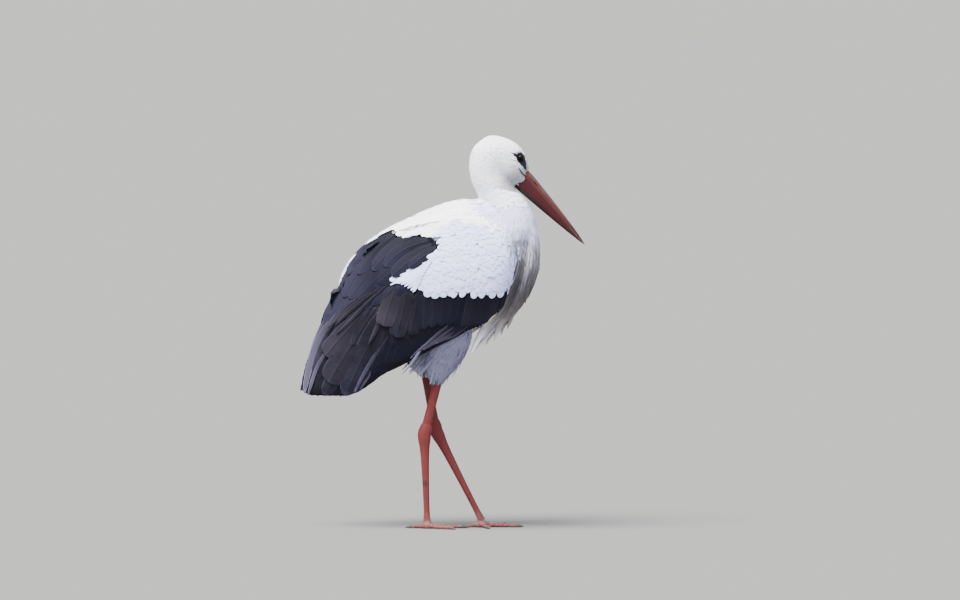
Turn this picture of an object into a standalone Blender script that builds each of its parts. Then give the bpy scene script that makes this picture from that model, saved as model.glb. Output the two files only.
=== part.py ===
"""White stork, life size, caught in mid-stride with its neck drawn in and its bill held low.

The bird faces +X, its left side is +Y and the floor is z = 0.  Every solid is the outer shape of
the plumage or of the bare part it stands for, so together they give the bird's true outline.
Head, neck and trunk are modelled whole and parted with thin plane cuts; each folded wing is one
shell laid over the trunk and parted with thin blades along the edges of its feather groups.
"""
import math

import bmesh
import bpy
from mathutils import Vector

# ---------------------------------------------------------------------------------------------
# Driving sizes, in metres.  Side-view places are (x, z); +x runs towards the bill.
# ---------------------------------------------------------------------------------------------
GAP = 0.0003                    # clear space between neighbouring solids

# Trunk: x, height of the back, height of the belly, half width.
TRUNK = ((0.192, 0.609, 0.571, 0.018),
         (0.173, 0.657, 0.517, 0.046),
         (0.142, 0.678, 0.475, 0.066),
         (0.100, 0.688, 0.437, 0.080),
         (0.047, 0.693, 0.399, 0.090),
         (-0.005, 0.682, 0.374, 0.092),
         (-0.058, 0.659, 0.352, 0.088),
         (-0.100, 0.640, 0.348, 0.078),
         (-0.142, 0.615, 0.374, 0.064),
         (-0.177, 0.587, 0.416, 0.048),
         (-0.203, 0.553, 0.454, 0.032),
         (-0.217, 0.520, 0.480, 0.015))
TRUNK_SQUARENESS = 2.1
TRUNK_FULLEST = 0.52            # share of the trunk's height at which it is widest

# Drawn-in neck, a column of plumage: z, x of the nape, x of the throat, half width.
NECK = ((0.820, 0.086, 0.118, 0.012),
        (0.806, 0.0655, 0.130, 0.028),
        (0.790, 0.058, 0.136, 0.0335),
        (0.768, 0.0545, 0.137, 0.035),
        (0.746, 0.056, 0.134, 0.035),
        (0.727, 0.0605, 0.140, 0.036),
        (0.709, 0.070, 0.158, 0.038),
        (0.689, 0.079, 0.177, 0.044),
        (0.664, 0.087, 0.190, 0.053),
        (0.634, 0.093, 0.197, 0.062),
        (0.605, 0.098, 0.194, 0.064))

# Head, along the bill's own axis from the middle of the skull: place, up, down, half width.
HEAD_CENTRE = (0.129, 0.773)
BILL_SLOPE = math.radians(46.3)
HEAD = ((-0.064, 0.009, 0.009, 0.009),
        (-0.055, 0.020, 0.020, 0.018),
        (-0.042, 0.030, 0.029, 0.025),
        (-0.021, 0.041, 0.038, 0.0295),
        (0.000, 0.0452, 0.034, 0.0300),
        (0.021, 0.0418, 0.0275, 0.0270),
        (0.042, 0.0315, 0.0240, 0.0208),
        (0.056, 0.0225, 0.0218, 0.0158),
        (0.066, 0.0165, 0.0195, 0.0118))

# Bill, on the same axis: it starts inside the head and its depth tapers by a power of the length.
BILL_ROOT = 0.046
BILL_TIP = 0.245
BILL_FULL = 0.066               # where the taper starts, at the edge of the face feathers
CULMEN_UP = 0.0222
CHIN_DOWN = 0.0222
MOUTH_UP = 0.0062
BILL_HALF_WIDTH = 0.0122
BILL_STATIONS = 12
BILL_POINT = 11.3               # spans that would reach a sharp point; the horn ends just short
CULMEN_TAPER = 0.68
CHIN_TAPER = 0.80
WIDTH_TAPER = 0.80

EYE_RADIUS = 0.0078
EYE_FORWARD = 0.0200            # along the head's axis
EYE_UP = 0.0285
EYE_OUT = 0.0148

# Planes that part head, neck and trunk: a point behind and a point in front, in side view.
HEAD_CUT = ((0.066, 0.739), (0.157, 0.7085))
NECK_CUT = ((0.077, 0.693), (0.178, 0.688))
TRUNK_CUT = ((0.083, 0.682), (0.204, 0.560))

# Long breast plumes: x, z, half width, half depth of the hanging curtain.
PLUMES = ((0.180, 0.650, 0.030, 0.009),
          (0.187, 0.610, 0.044, 0.014),
          (0.1855, 0.570, 0.050, 0.0185),
          (0.179, 0.535, 0.052, 0.0200),
          (0.164, 0.498, 0.048, 0.0190),
          (0.140, 0.458, 0.038, 0.0150),
          (0.114, 0.424, 0.026, 0.0100))
# Free points of the plumes: root (x, z), tip (x, z), y, half width.
PLUME_POINTS = (((0.152, 0.482), (0.1375, 0.419), -0.022, 0.0100),
                ((0.138, 0.460), (0.1210, 0.401), 0.018, 0.0095),
                ((0.128, 0.450), (0.1080, 0.394), -0.005, 0.0095),
                ((0.120, 0.438), (0.0900, 0.382), 0.011, 0.0090),
                ((0.122, 0.436), (0.0620, 0.369), -0.012, 0.0095))
# Along each point: share of its length, half thickness, share of its half width.
PLUME_SECTIONS = ((0.0, 0.0055, 1.0), (0.45, 0.0045, 1.0), (0.8, 0.0025, 0.55),
                  (1.0, 0.0006, 0.13))
PLUME_GATHER = 0.8              # the points' tips lie closer to the mid plane than their roots

# Folded wing: its upper and lower edges in side view, front to back, and the distance from the
# mid plane of its upper edge, its fullest part and its lower edge at the same stations.
WING_UPPER = ((0.152, 0.598), (0.135, 0.634), (0.095, 0.652), (0.020, 0.657), (-0.060, 0.642),
              (-0.135, 0.609), (-0.185, 0.568), (-0.224, 0.500), (-0.262, 0.422), (-0.289, 0.350),
              (-0.301, 0.292))
WING_LOWER = ((0.154, 0.560), (0.136, 0.496), (0.110, 0.446), (0.060, 0.418), (-0.020, 0.390),
              (-0.085, 0.352), (-0.125, 0.335), (-0.160, 0.305), (-0.186, 0.282), (-0.232, 0.2755),
              (-0.286, 0.279))
WING_SPREAD = ((0.066, 0.070, 0.067), (0.063, 0.084, 0.074), (0.064, 0.099, 0.082),
               (0.064, 0.108, 0.086), (0.052, 0.105, 0.081), (0.042, 0.093, 0.072),
               (0.035, 0.080, 0.064), (0.021, 0.064, 0.052), (0.012, 0.048, 0.042),
               (0.008, 0.033, 0.030), (0.008, 0.018, 0.017))
WING_THICK_FRONT = 0.016
WING_THICK_REAR = 0.007
WING_RIM_THINNING = 0.35        # how much thinner the shell is at its upper and lower edges
WING_TUCK = 0.8                 # share of its thickness that the inner face sinks at the top

# Edges of the wing's feather groups, in side view.
BLADE = 0.0004
BLADE_REACH = 0.2               # farther than the wings spread from the mid plane
MANTLE_EDGE = ((-0.020, 0.720), (-0.003, 0.590), (-0.054, 0.552), (-0.089, 0.531),
               (-0.152, 0.496), (-0.205, 0.462), (-0.290, 0.405))
COVERT_EDGE = ((-0.089, 0.531), (-0.064, 0.510), (-0.026, 0.483), (0.121, 0.481), (0.220, 0.481))
TERTIAL_FRONT = ((-0.064, 0.510), (-0.093, 0.437), (-0.121, 0.384), (-0.148, 0.280))
TERTIAL_TIPS = ((-0.205, 0.462), (-0.250, 0.384), (-0.254, 0.328), (-0.226, 0.3035),
                (-0.142, 0.3035))
# A point inside each feather group, by which it is known once the wing is parted.
WING_GROUPS = {"coverts": (0.050, 0.560), "scapulars": (-0.120, 0.560),
               "secondaries": (0.030, 0.450), "tertials": (-0.170, 0.420),
               "primaries": (-0.270, 0.330)}

# Short tail under the closed wings: x, z, half width, half thickness.
TAIL = ((-0.185, 0.500, 0.022, 0.010),
        (-0.205, 0.450, 0.026, 0.008),
        (-0.225, 0.400, 0.029, 0.006),
        (-0.244, 0.350, 0.027, 0.004),
        (-0.256, 0.312, 0.020, 0.002))

# Feathered thighs: x, z, distance from the mid plane, half length, half width.
THIGH_RIGHT = ((0.017, 0.440, 0.040, 0.046, 0.034), (0.016, 0.405, 0.038, 0.047, 0.034),
               (0.013, 0.385, 0.036, 0.045, 0.032), (0.006, 0.362, 0.032, 0.042, 0.028),
               (-0.003, 0.342, 0.028, 0.036, 0.024), (-0.009, 0.325, 0.025, 0.027, 0.019),
               (-0.0105, 0.312, 0.023, 0.016, 0.013), (-0.0115, 0.303, 0.022, 0.0110, 0.0095))
THIGH_LEFT = ((-0.028, 0.440, 0.040, 0.046, 0.034), (-0.030, 0.400, 0.038, 0.047, 0.034),
              (-0.036, 0.372, 0.035, 0.045, 0.031), (-0.044, 0.352, 0.031, 0.038, 0.026),
              (-0.044, 0.338, 0.027, 0.028, 0.020), (-0.0385, 0.326, 0.024, 0.017, 0.014),
              (-0.0345, 0.316, 0.022, 0.0110, 0.0095))

# Bare legs: the hem of the thigh feathers, the ankle and the root of the toes, as x, y, z.
LEG_RIGHT = ((-0.0115, -0.022, 0.303), (-0.0385, -0.020, 0.198), (-0.0325, -0.017, 0.0145))
LEG_LEFT = ((-0.0345, 0.022, 0.316), (-0.0140, 0.020, 0.2035), (0.0825, 0.019, 0.0145))
# Along each bone: fraction of its length, half depth, half width.
TIBIA = ((-0.05, 0.0100, 0.0080), (0.35, 0.0095, 0.0072), (0.80, 0.0102, 0.0076))
ANKLE = ((-0.19, 0.0118, 0.0088), (-0.07, 0.0148, 0.0108), (0.05, 0.0142, 0.0104),
         (0.12, 0.0118, 0.0085))
ANKLE_TOP, ANKLE_FOOT = -0.19, 0.12
TARSUS = ((0.12, 0.0118, 0.0085), (0.24, 0.0096, 0.0068), (0.50, 0.0078, 0.0056),
          (0.75, 0.0068, 0.0050), (0.90, 0.0068, 0.0054), (1.00, 0.0086, 0.0080))

# Foot pad, from the floor up: height, radius.
PAD = ((0.0, 0.0118), (0.003, 0.0146), (0.007, 0.0140), (0.0105, 0.0112), (0.0140, 0.0084))
# Toes: name, heading from straight ahead towards the mid plane in degrees, length, radius.
TOES = (("middle", 3.0, 0.074, 0.0055), ("inner", 76.0, 0.056, 0.0051),
        ("outer", -38.0, 0.062, 0.0051), ("hind", 168.0, 0.033, 0.0048))
TOE_ROOT_HEIGHT = 0.0095
TOE_SLOPE_LENGTH = 0.020        # the first joint comes down to the floor over this length
TOE_START = 0.007               # from the tarsus's axis, inside the pad
TOE_TAPER = (0.96, 0.22)        # share of the radius at the root, and how much of it is lost
TOE_KNUCKLES = 5
TOE_SWELL = 0.04                # how much the knuckles stand out
TOE_SEAT = 0.86                 # height of a toe's axis, as a share of its radius
TOE_FLATNESS = 0.95
CLAW_LENGTH = 0.014
CLAW_ROOT = 0.74                # share of the toe's radius
CLAW_TIP = 0.0006
CLAW_TIP_HEIGHT = 0.0012
CLAW_TAPER = 0.8
CLAW_NARROWNESS = 0.8

# How finely each form is drawn: stations along it, then points round or across it.
TRUNK_NET = (17, 20)
NECK_NET = (13, 18)
HEAD_NET = (11, 18)
BILL_ARCH_SPANS = 8
EYE_NET = (7, 12)
PLUME_NET = (10, 14)
PLUME_POINT_SIDES = 6
WING_NET = (21, 8)
TAIL_NET = (7, 14)
THIGH_SIDES = 14
LEG_SIDES = 10
ANKLE_STATIONS = 7
PAD_SIDES = 16
TOE_NET = (6, 8)
CLAW_NET = (4, 8)
SHARP_EDGE = math.radians(40)

# ---------------------------------------------------------------------------------------------
# Colours: feather white, feather black, bare red skin and horn.
# ---------------------------------------------------------------------------------------------
WHITE = (0.80, 0.80, 0.80)
CREAM = (0.72, 0.70, 0.65)
GREY_WHITE = (0.62, 0.62, 0.68)
BLACK = (0.030, 0.028, 0.034)
BROWN_BLACK = (0.050, 0.042, 0.044)
BILL_RED = (0.42, 0.055, 0.045)
LEG_RED = (0.60, 0.11, 0.075)
HORN_BLACK = (0.05, 0.04, 0.04)
EYE_BLACK = (0.01, 0.01, 0.012)
FEATHER_ROUGHNESS = 0.8
HORN_ROUGHNESS = 0.45
EYE_ROUGHNESS = 0.08


# ---------------------------------------------------------------------------------------------
# Modelling tools
# ---------------------------------------------------------------------------------------------
def clear_scene():
    for old in list(bpy.data.objects):
        bpy.data.objects.remove(old, do_unlink=True)


def new_collection(name):
    group = bpy.data.collections.new(name)
    bpy.context.scene.collection.children.link(group)
    return group


def through(rows, count):
    """Rows read from a smooth curve through the given rows (Catmull-Rom), count of them."""
    spans = len(rows) - 1
    result = []
    for step in range(count):
        place = step * spans / (count - 1)
        span = min(int(place), spans - 1)
        t = place - span
        before = rows[max(span - 1, 0)]
        after = rows[min(span + 2, spans)]
        row = []
        for p0, p1, p2, p3 in zip(before, rows[span], rows[span + 1], after):
            bend = 2 * p0 - 5 * p1 + 4 * p2 - p3
            swing = 3 * p1 - p0 - 3 * p2 + p3
            row.append(p1 + 0.5 * t * (p2 - p0 + t * (bend + t * swing)))
        result.append(row)
    return result


def oval(centre, up, side, above, below, half_width, count, squareness=2.0):
    """A ring of points: an oval with its own height above and below the centre."""
    ring = []
    for step in range(count):
        turn = 2 * math.pi * step / count
        lift = math.copysign(abs(math.sin(turn)) ** (2 / squareness), math.sin(turn))
        out = math.copysign(abs(math.cos(turn)) ** (2 / squareness), math.cos(turn))
        height = above if lift > 0 else below
        ring.append(centre + up * (lift * height) + side * (out * half_width))
    return ring


def loft(name, rings, group):
    """A closed solid drawn over a row of rings with equal counts, with flat ends."""
    mesh = bpy.data.meshes.new(name)
    built = bmesh.new()
    rows = [[built.verts.new(point) for point in ring] for ring in rings]
    count = len(rings[0])
    for first, second in zip(rows, rows[1:]):
        for step in range(count):
            following = (step + 1) % count
            built.faces.new((first[step], first[following], second[following], second[step]))
    built.faces.new(rows[0])
    built.faces.new(list(reversed(rows[-1])))
    bmesh.ops.recalc_face_normals(built, faces=built.faces)
    built.to_mesh(mesh)
    built.free()
    solid = bpy.data.objects.new(name, mesh)
    group.objects.link(solid)
    return solid


def sweep(path, sections, count, sideways, floor=None):
    """Rings square to a path: sections hold half depth and half width; floor flattens the sole."""
    rings = []
    last = len(path) - 1
    for index, (point, (depth, width)) in enumerate(zip(path, sections)):
        run = (path[min(index + 1, last)] - path[max(index - 1, 0)]).normalized()
        side = (sideways - run * sideways.dot(run)).normalized()
        ring = oval(point, run.cross(side), side, depth, depth, width, count)
        if floor is not None:
            ring = [Vector((spot.x, spot.y, max(spot.z, floor))) for spot in ring]
        rings.append(ring)
    return rings


def duplicate(solid, name, group):
    copy = bpy.data.objects.new(name, solid.data.copy())
    group.objects.link(copy)
    return copy


def bake_modifiers(solid):
    """Keep what the modifiers make as the solid's own mesh."""
    ready = solid.evaluated_get(bpy.context.evaluated_depsgraph_get())
    mesh = bpy.data.meshes.new_from_object(ready)
    solid.modifiers.clear()
    old = solid.data
    solid.data = mesh
    bpy.data.meshes.remove(old)
    mesh.name = solid.name


def combine(solid, others, operation, margin=0.0):
    """Join to, or cut from, a solid the others, whose skins first move out by the margin."""
    for other in others:
        tool = duplicate(other, "tool", guides)
        tool.display_type = "WIRE"
        tool.hide_render = True
        if margin:
            grow = tool.modifiers.new("margin", "DISPLACE")
            grow.strength = margin
            grow.mid_level = 0.0
        step = solid.modifiers.new("combine", "BOOLEAN")
        step.operation = operation
        step.solver = "EXACT"
        step.object = tool
        bake_modifiers(solid)
        mesh = tool.data
        bpy.data.objects.remove(tool, do_unlink=True)
        bpy.data.meshes.remove(mesh)


def keep_side(solid, point, outward):
    """Cut a solid on a plane, keep what lies against the outward direction and close the cut."""
    built = bmesh.new()
    built.from_mesh(solid.data)
    geometry = built.verts[:] + built.edges[:] + built.faces[:]
    bmesh.ops.bisect_plane(built, geom=geometry, plane_co=point, plane_no=outward, clear_outer=True)
    open_edges = [edge for edge in built.edges if edge.is_boundary]
    bmesh.ops.holes_fill(built, edges=open_edges, sides=0)
    bmesh.ops.triangulate(built, faces=built.faces)
    bmesh.ops.recalc_face_normals(built, faces=built.faces)
    built.to_mesh(solid.data)
    built.free()


def finish(solid, colour, roughness):
    """Give a finished solid its own material and smooth shading."""
    material = bpy.data.materials.new(solid.name)
    material.use_nodes = True
    shader = material.node_tree.nodes["Principled BSDF"]
    shader.inputs["Base Color"].default_value = (*colour, 1.0)
    shader.inputs["Roughness"].default_value = roughness
    shader.inputs["Metallic"].default_value = 0.0
    solid.data.materials.clear()
    solid.data.materials.append(material)
    solid.data.shade_smooth()
    solid.data.set_sharp_from_angle(angle=SHARP_EDGE)


def islands(solid, group):
    """Split a solid into its separate bodies, as new solids, and remove it."""
    whole = bmesh.new()
    whole.from_mesh(solid.data)
    whole.verts.ensure_lookup_table()
    seen = set()
    bodies = []
    for start in whole.verts:
        if start in seen:
            continue
        body = {start}
        edge_of = [start]
        while edge_of:
            for edge in edge_of.pop().link_edges:
                for vert in edge.verts:
                    if vert not in body:
                        body.add(vert)
                        edge_of.append(vert)
        seen |= body
        bodies.append({vert.index for vert in body})
    whole.free()
    pieces = []
    for body in bodies:
        piece = duplicate(solid, solid.name, group)
        built = bmesh.new()
        built.from_mesh(piece.data)
        outside = [vert for vert in built.verts if vert.index not in body]
        bmesh.ops.delete(built, geom=outside, context="VERTS")
        built.to_mesh(piece.data)
        built.free()
        pieces.append(piece)
    bpy.data.objects.remove(solid, do_unlink=True)
    return pieces


def mirrored(solid, name, group):
    """The same solid on the other side of the bird's mid plane."""
    twin = duplicate(solid, name, group)
    built = bmesh.new()
    built.from_mesh(twin.data)
    bmesh.ops.scale(built, verts=built.verts, vec=(1, -1, 1))
    bmesh.ops.reverse_faces(built, faces=built.faces)
    built.to_mesh(twin.data)
    built.free()
    return twin


def side_view(point, y=0.0):
    return Vector((point[0], y, point[1]))


def upward_normal(behind, ahead):
    """The upward normal of a cut that runs from one side-view point to another."""
    run = side_view(ahead) - side_view(behind)
    return run.cross(Vector((0, 1, 0))).normalized()


# ---------------------------------------------------------------------------------------------
# Head, neck and trunk
# ---------------------------------------------------------------------------------------------
SIDE = Vector((0, 1, 0))
UP = Vector((0, 0, 1))
FORWARD = Vector((1, 0, 0))
HEAD_AXIS = Vector((math.cos(BILL_SLOPE), 0, -math.sin(BILL_SLOPE)))
HEAD_UP = Vector((math.sin(BILL_SLOPE), 0, math.cos(BILL_SLOPE)))


def on_head(along, up=0.0, out=0.0):
    return side_view(HEAD_CENTRE) + HEAD_AXIS * along + HEAD_UP * up + SIDE * out


def make_trunk(group):
    stations, sides = TRUNK_NET
    rings = []
    for x, back, belly, half in through(TRUNK, stations):
        middle = Vector((x, 0, belly + TRUNK_FULLEST * (back - belly)))
        rings.append(oval(middle, UP, SIDE, back - middle.z, middle.z - belly, half, sides,
                          TRUNK_SQUARENESS))
    return loft("trunk_form", rings, group)


def make_neck_column(group):
    stations, sides = NECK_NET
    rings = []
    for z, nape, throat, half in through(NECK, stations):
        middle = Vector(((nape + throat) / 2, 0, z))
        reach = (throat - nape) / 2
        rings.append(oval(middle, FORWARD, SIDE, reach, reach, half, sides))
    return loft("neck_form", rings, group)


def make_skull(group):
    stations, sides = HEAD_NET
    rings = [oval(on_head(along), HEAD_UP, SIDE, up, down, half, sides)
             for along, up, down, half in through(HEAD, stations)]
    return loft("skull_form", rings, group)


def mandible(name, group, upper):
    """One half of the bill: an arched outer face over a flat cutting face along the mouth."""
    rings = []
    for step in range(BILL_STATIONS):
        run = math.sin(math.pi / 2 * step / BILL_POINT)
        along = BILL_ROOT + (BILL_TIP - BILL_ROOT) * run
        left = 1 - max(along - BILL_FULL, 0) / (BILL_TIP - BILL_FULL)
        mouth = MOUTH_UP * left
        half = BILL_HALF_WIDTH * left ** WIDTH_TAPER
        if upper:
            arch = CULMEN_UP * left ** CULMEN_TAPER - mouth
            edge = GAP / 2
        else:
            arch = -CHIN_DOWN * left ** CHIN_TAPER - mouth
            edge = -GAP / 2
        ring = []
        for corner in range(BILL_ARCH_SPANS + 1):
            turn = math.pi * corner / BILL_ARCH_SPANS
            ring.append(on_head(along, mouth + edge + arch * math.sin(turn),
                                half * math.cos(turn)))
        rings.append(ring)
    return loft(name, rings, group)


def make_eye(name, side, group):
    centre = on_head(EYE_FORWARD, EYE_UP, side * EYE_OUT)
    rows, columns = EYE_NET
    built = bmesh.new()
    bmesh.ops.create_uvsphere(built, u_segments=columns, v_segments=rows, radius=EYE_RADIUS)
    bmesh.ops.rotate(built, verts=built.verts, matrix=pole_to_side())
    bmesh.ops.translate(built, verts=built.verts, vec=centre)
    mesh = bpy.data.meshes.new(name)
    built.to_mesh(mesh)
    built.free()
    eye = bpy.data.objects.new(name, mesh)
    group.objects.link(eye)
    return eye


def pole_to_side():
    """Turns an eyeball's pole to face sideways."""
    return UP.rotation_difference(SIDE).to_matrix()


# ---------------------------------------------------------------------------------------------
# Breast plumes, wings and tail
# ---------------------------------------------------------------------------------------------
def make_plumes(group):
    stations, sides = PLUME_NET
    rows = through(PLUMES, stations)
    path = [Vector((x, 0, z)) for x, z, half, depth in rows]
    sections = [(depth, half) for x, z, half, depth in rows]
    curtain = loft("breast_plumes", sweep(path, sections, sides, SIDE), group)
    for root, tip, y, half in PLUME_POINTS:
        start = side_view(root, y)
        end = side_view(tip, y * PLUME_GATHER)
        path = [start.lerp(end, share) for share, thick, broad in PLUME_SECTIONS]
        sections = [(thick, half * broad) for share, thick, broad in PLUME_SECTIONS]
        point = loft("plume_point", sweep(path, sections, PLUME_POINT_SIDES, SIDE), guides)
        combine(curtain, [point], "UNION")
        bpy.data.objects.remove(point, do_unlink=True)
    return curtain


def make_left_wing(group):
    """The folded wing as one shell: an outer face full in the middle, and one inside it."""
    stations, across = WING_NET
    rings = []
    edges = zip(through(WING_UPPER, stations), through(WING_LOWER, stations),
                through(WING_SPREAD, stations))
    for index, (upper, lower, (y_top, y_full, y_low)) in enumerate(edges):
        share = index / (stations - 1)
        thick = WING_THICK_FRONT + (WING_THICK_REAR - WING_THICK_FRONT) * share
        outer = []
        inner = []
        for step in range(across):
            t = step / (across - 1)
            y = (y_top * (1 - t) * (1 - 2 * t) + y_full * 4 * t * (1 - t) + y_low * t * (2 * t - 1))
            spot = side_view(upper).lerp(side_view(lower), t)
            lean = 1 - WING_RIM_THINNING * abs(2 * t - 1)
            under = max(1 - 2 * t, 0) ** 2 * WING_TUCK * thick
            outer.append(spot + SIDE * y)
            inner.append(spot + SIDE * (y - thick * lean) - UP * under)
        rings.append(outer + list(reversed(inner)))
    return loft("left_wing_form", rings, group)


def blade(name, line):
    """A thin upright knife along a side-view line, reaching out past the left wing."""
    rings = []
    last = len(line) - 1
    for index, place in enumerate(line):
        run = side_view(line[min(index + 1, last)]) - side_view(line[max(index - 1, 0)])
        across = run.cross(SIDE).normalized() * (BLADE / 2)
        near = side_view(place, -BLADE_REACH)
        far = side_view(place, BLADE_REACH)
        rings.append([near + across, far + across, far - across, near - across])
    knife = loft(name, rings, guides)
    knife.display_type = "WIRE"
    knife.hide_render = True
    return knife


def part_wing(wing, knives, group):
    """Part a wing along its knives; each feather group is the piece nearest its known point."""
    combine(wing, knives, "DIFFERENCE")
    pieces = islands(wing, group)
    named = {}
    for label, place in WING_GROUPS.items():
        spot = side_view(place)

        def distance(piece):
            return min((side_view((v.co.x, v.co.z)) - spot).length for v in piece.data.vertices)

        named[label] = min(pieces, key=distance)
    for piece in pieces:
        if piece not in named.values():
            bpy.data.objects.remove(piece, do_unlink=True)
    return named


def make_tail(group):
    stations, sides = TAIL_NET
    rows = through(TAIL, stations)
    path = [Vector((x, 0, z)) for x, z, half, thick in rows]
    sections = [(thick, half) for x, z, half, thick in rows]
    return loft("tail", sweep(path, sections, sides, SIDE), group)


# ---------------------------------------------------------------------------------------------
# Legs and feet
# ---------------------------------------------------------------------------------------------
def make_thigh(name, rows, side, group):
    rings = [oval(Vector((x, side * y, z)), FORWARD, SIDE, length, length, width, THIGH_SIDES)
             for x, z, y, length, width in rows]
    return loft(name, rings, group)


def limb(name, start, end, rows, group, lead=0.0):
    """A length of leg: rows hold the fraction along the bone, half depth and half width."""
    run = end - start
    fine = through(rows, 2 * len(rows) - 1)
    path = [start + run * row[0] + run.normalized() * lead for row in fine]
    rings = []
    side = (SIDE - run.normalized() * SIDE.dot(run.normalized())).normalized()
    front = side.cross(run.normalized())
    for spot, row in zip(path, fine):
        rings.append(oval(spot, front, side, row[1], row[1], row[2], LEG_SIDES))
    return loft(name, rings, group)


def make_leg(side_name, bones, group):
    """Bare tibia, swollen ankle and long tarsus; the ankle straddles the bend."""
    hem, ankle, root = (Vector(place) for place in bones)
    tibia_run = ankle - hem
    tarsus_run = root - ankle
    tibia = limb(f"tibia_{side_name}", hem, ankle, TIBIA, group)

    # The ankle's rings turn from square on the tibia to square on the tarsus.
    rings = []
    fine = through(ANKLE, ANKLE_STATIONS)
    for share, depth, width in fine:
        run = tibia_run if share < 0 else tarsus_run
        spot = ankle + run * share
        blend = min(max((share - ANKLE_TOP) / (ANKLE_FOOT - ANKLE_TOP), 0), 1)
        heading = tibia_run.normalized().lerp(tarsus_run.normalized(), blend).normalized()
        side = (SIDE - heading * SIDE.dot(heading)).normalized()
        rings.append(oval(spot, side.cross(heading), side, depth, depth, width, LEG_SIDES))
    joint = loft(f"ankle_{side_name}", rings, group)

    tarsus = limb(f"tarsus_{side_name}", ankle, root, TARSUS, group, lead=GAP)
    return tibia, joint, tarsus


def make_foot(side_name, side, root, tarsus, group):
    """A pad under the tarsus, and four toes that leave it flat on the floor, each with a claw."""
    floor_spot = Vector((root.x, root.y, 0))
    rings = [oval(floor_spot + UP * height, FORWARD, SIDE, radius, radius, radius, PAD_SIDES)
             for height, radius in PAD]
    pad = loft(f"foot_{side_name}", rings, group)
    combine(pad, [tarsus], "DIFFERENCE", GAP)

    toes = []
    claws = []
    for label, heading, length, radius in TOES:
        turn = math.radians(heading) * -side
        run = Vector((math.cos(turn), math.sin(turn), 0))
        path = []
        sections = []
        for step in range(TOE_NET[0]):
            share = step / (TOE_NET[0] - 1)
            reach = TOE_START + (length - TOE_START) * share
            slope = max(1 - reach / TOE_SLOPE_LENGTH, 0)
            knuckle = 1 + TOE_SWELL * math.sin(TOE_KNUCKLES * math.pi * share)
            size = radius * (TOE_TAPER[0] - TOE_TAPER[1] * share) * knuckle
            height = size * TOE_SEAT + (TOE_ROOT_HEIGHT - radius) * slope
            path.append(floor_spot + run * reach + UP * height)
            sections.append((size, size * TOE_FLATNESS))
        toe = loft(f"toe_{label}_{side_name}",
                   sweep(path, sections, TOE_NET[1], UP.cross(run), floor=0.0), group)
        combine(toe, [pad], "DIFFERENCE", GAP)
        toes.append(toe)

        start = floor_spot + run * (length + GAP)
        base = radius * CLAW_ROOT
        path = []
        sections = []
        for step in range(CLAW_NET[0]):
            share = step / (CLAW_NET[0] - 1)
            drop = base * TOE_FLATNESS * (1 - share ** 2) + CLAW_TIP_HEIGHT * share ** 2
            path.append(start + run * (CLAW_LENGTH * share) + UP * drop)
            size = base * (1 - share) ** CLAW_TAPER + CLAW_TIP
            sections.append((size, size * CLAW_NARROWNESS))
        claws.append(loft(f"claw_{label}_{side_name}",
                          sweep(path, sections, CLAW_NET[1], UP.cross(run), floor=0.0),
                          group))
    return [pad] + toes, claws


# ---------------------------------------------------------------------------------------------
# Assembly
# ---------------------------------------------------------------------------------------------
clear_scene()
stork = new_collection("white_stork")
guides = new_collection("cutters")

trunk_form = make_trunk(guides)
flesh = make_skull(guides)
neck_column = make_neck_column(guides)
combine(flesh, [neck_column, trunk_form], "UNION")

bill_upper = mandible("bill_upper", stork, True)
bill_lower = mandible("bill_lower", stork, False)
eye_right = make_eye("eye_right", -1, stork)
eye_left = make_eye("eye_left", 1, stork)

plumes = make_plumes(stork)
combine(plumes, [flesh], "DIFFERENCE", GAP)

left_wing = make_left_wing(guides)
combine(left_wing, [flesh, plumes], "DIFFERENCE", GAP)
right_wing = mirrored(left_wing, "right_wing_form", guides)

tail = make_tail(stork)
combine(tail, [flesh, left_wing, right_wing], "DIFFERENCE", GAP)

for side_name, side, rows, bones in (("right", -1, THIGH_RIGHT, LEG_RIGHT),
                                     ("left", 1, THIGH_LEFT, LEG_LEFT)):
    thigh = make_thigh(f"thigh_{side_name}", rows, side, stork)
    combine(thigh, [flesh, left_wing, right_wing], "DIFFERENCE", GAP)
    finish(thigh, GREY_WHITE, FEATHER_ROUGHNESS)
    tibia, joint, tarsus = make_leg(side_name, bones, stork)
    combine(tibia, [thigh, joint], "DIFFERENCE", GAP)
    toes, claws = make_foot(side_name, side, Vector(bones[2]), tarsus, stork)
    for bare in (tibia, joint, tarsus, *toes):
        finish(bare, LEG_RED, HORN_ROUGHNESS)
    for claw in claws:
        finish(claw, HORN_BLACK, HORN_ROUGHNESS)

knives = [blade("mantle_edge", MANTLE_EDGE), blade("covert_edge", COVERT_EDGE),
          blade("tertial_front", TERTIAL_FRONT), blade("tertial_tips", TERTIAL_TIPS)]
group_colours = {"coverts": WHITE, "scapulars": BLACK, "secondaries": BLACK,
                 "tertials": BROWN_BLACK, "primaries": BROWN_BLACK}
for label, piece in part_wing(left_wing, knives, stork).items():
    piece.name = f"{label}_left"
    for side_piece in (piece, mirrored(piece, f"{label}_right", stork)):
        finish(side_piece, group_colours[label], FEATHER_ROUGHNESS)

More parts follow.
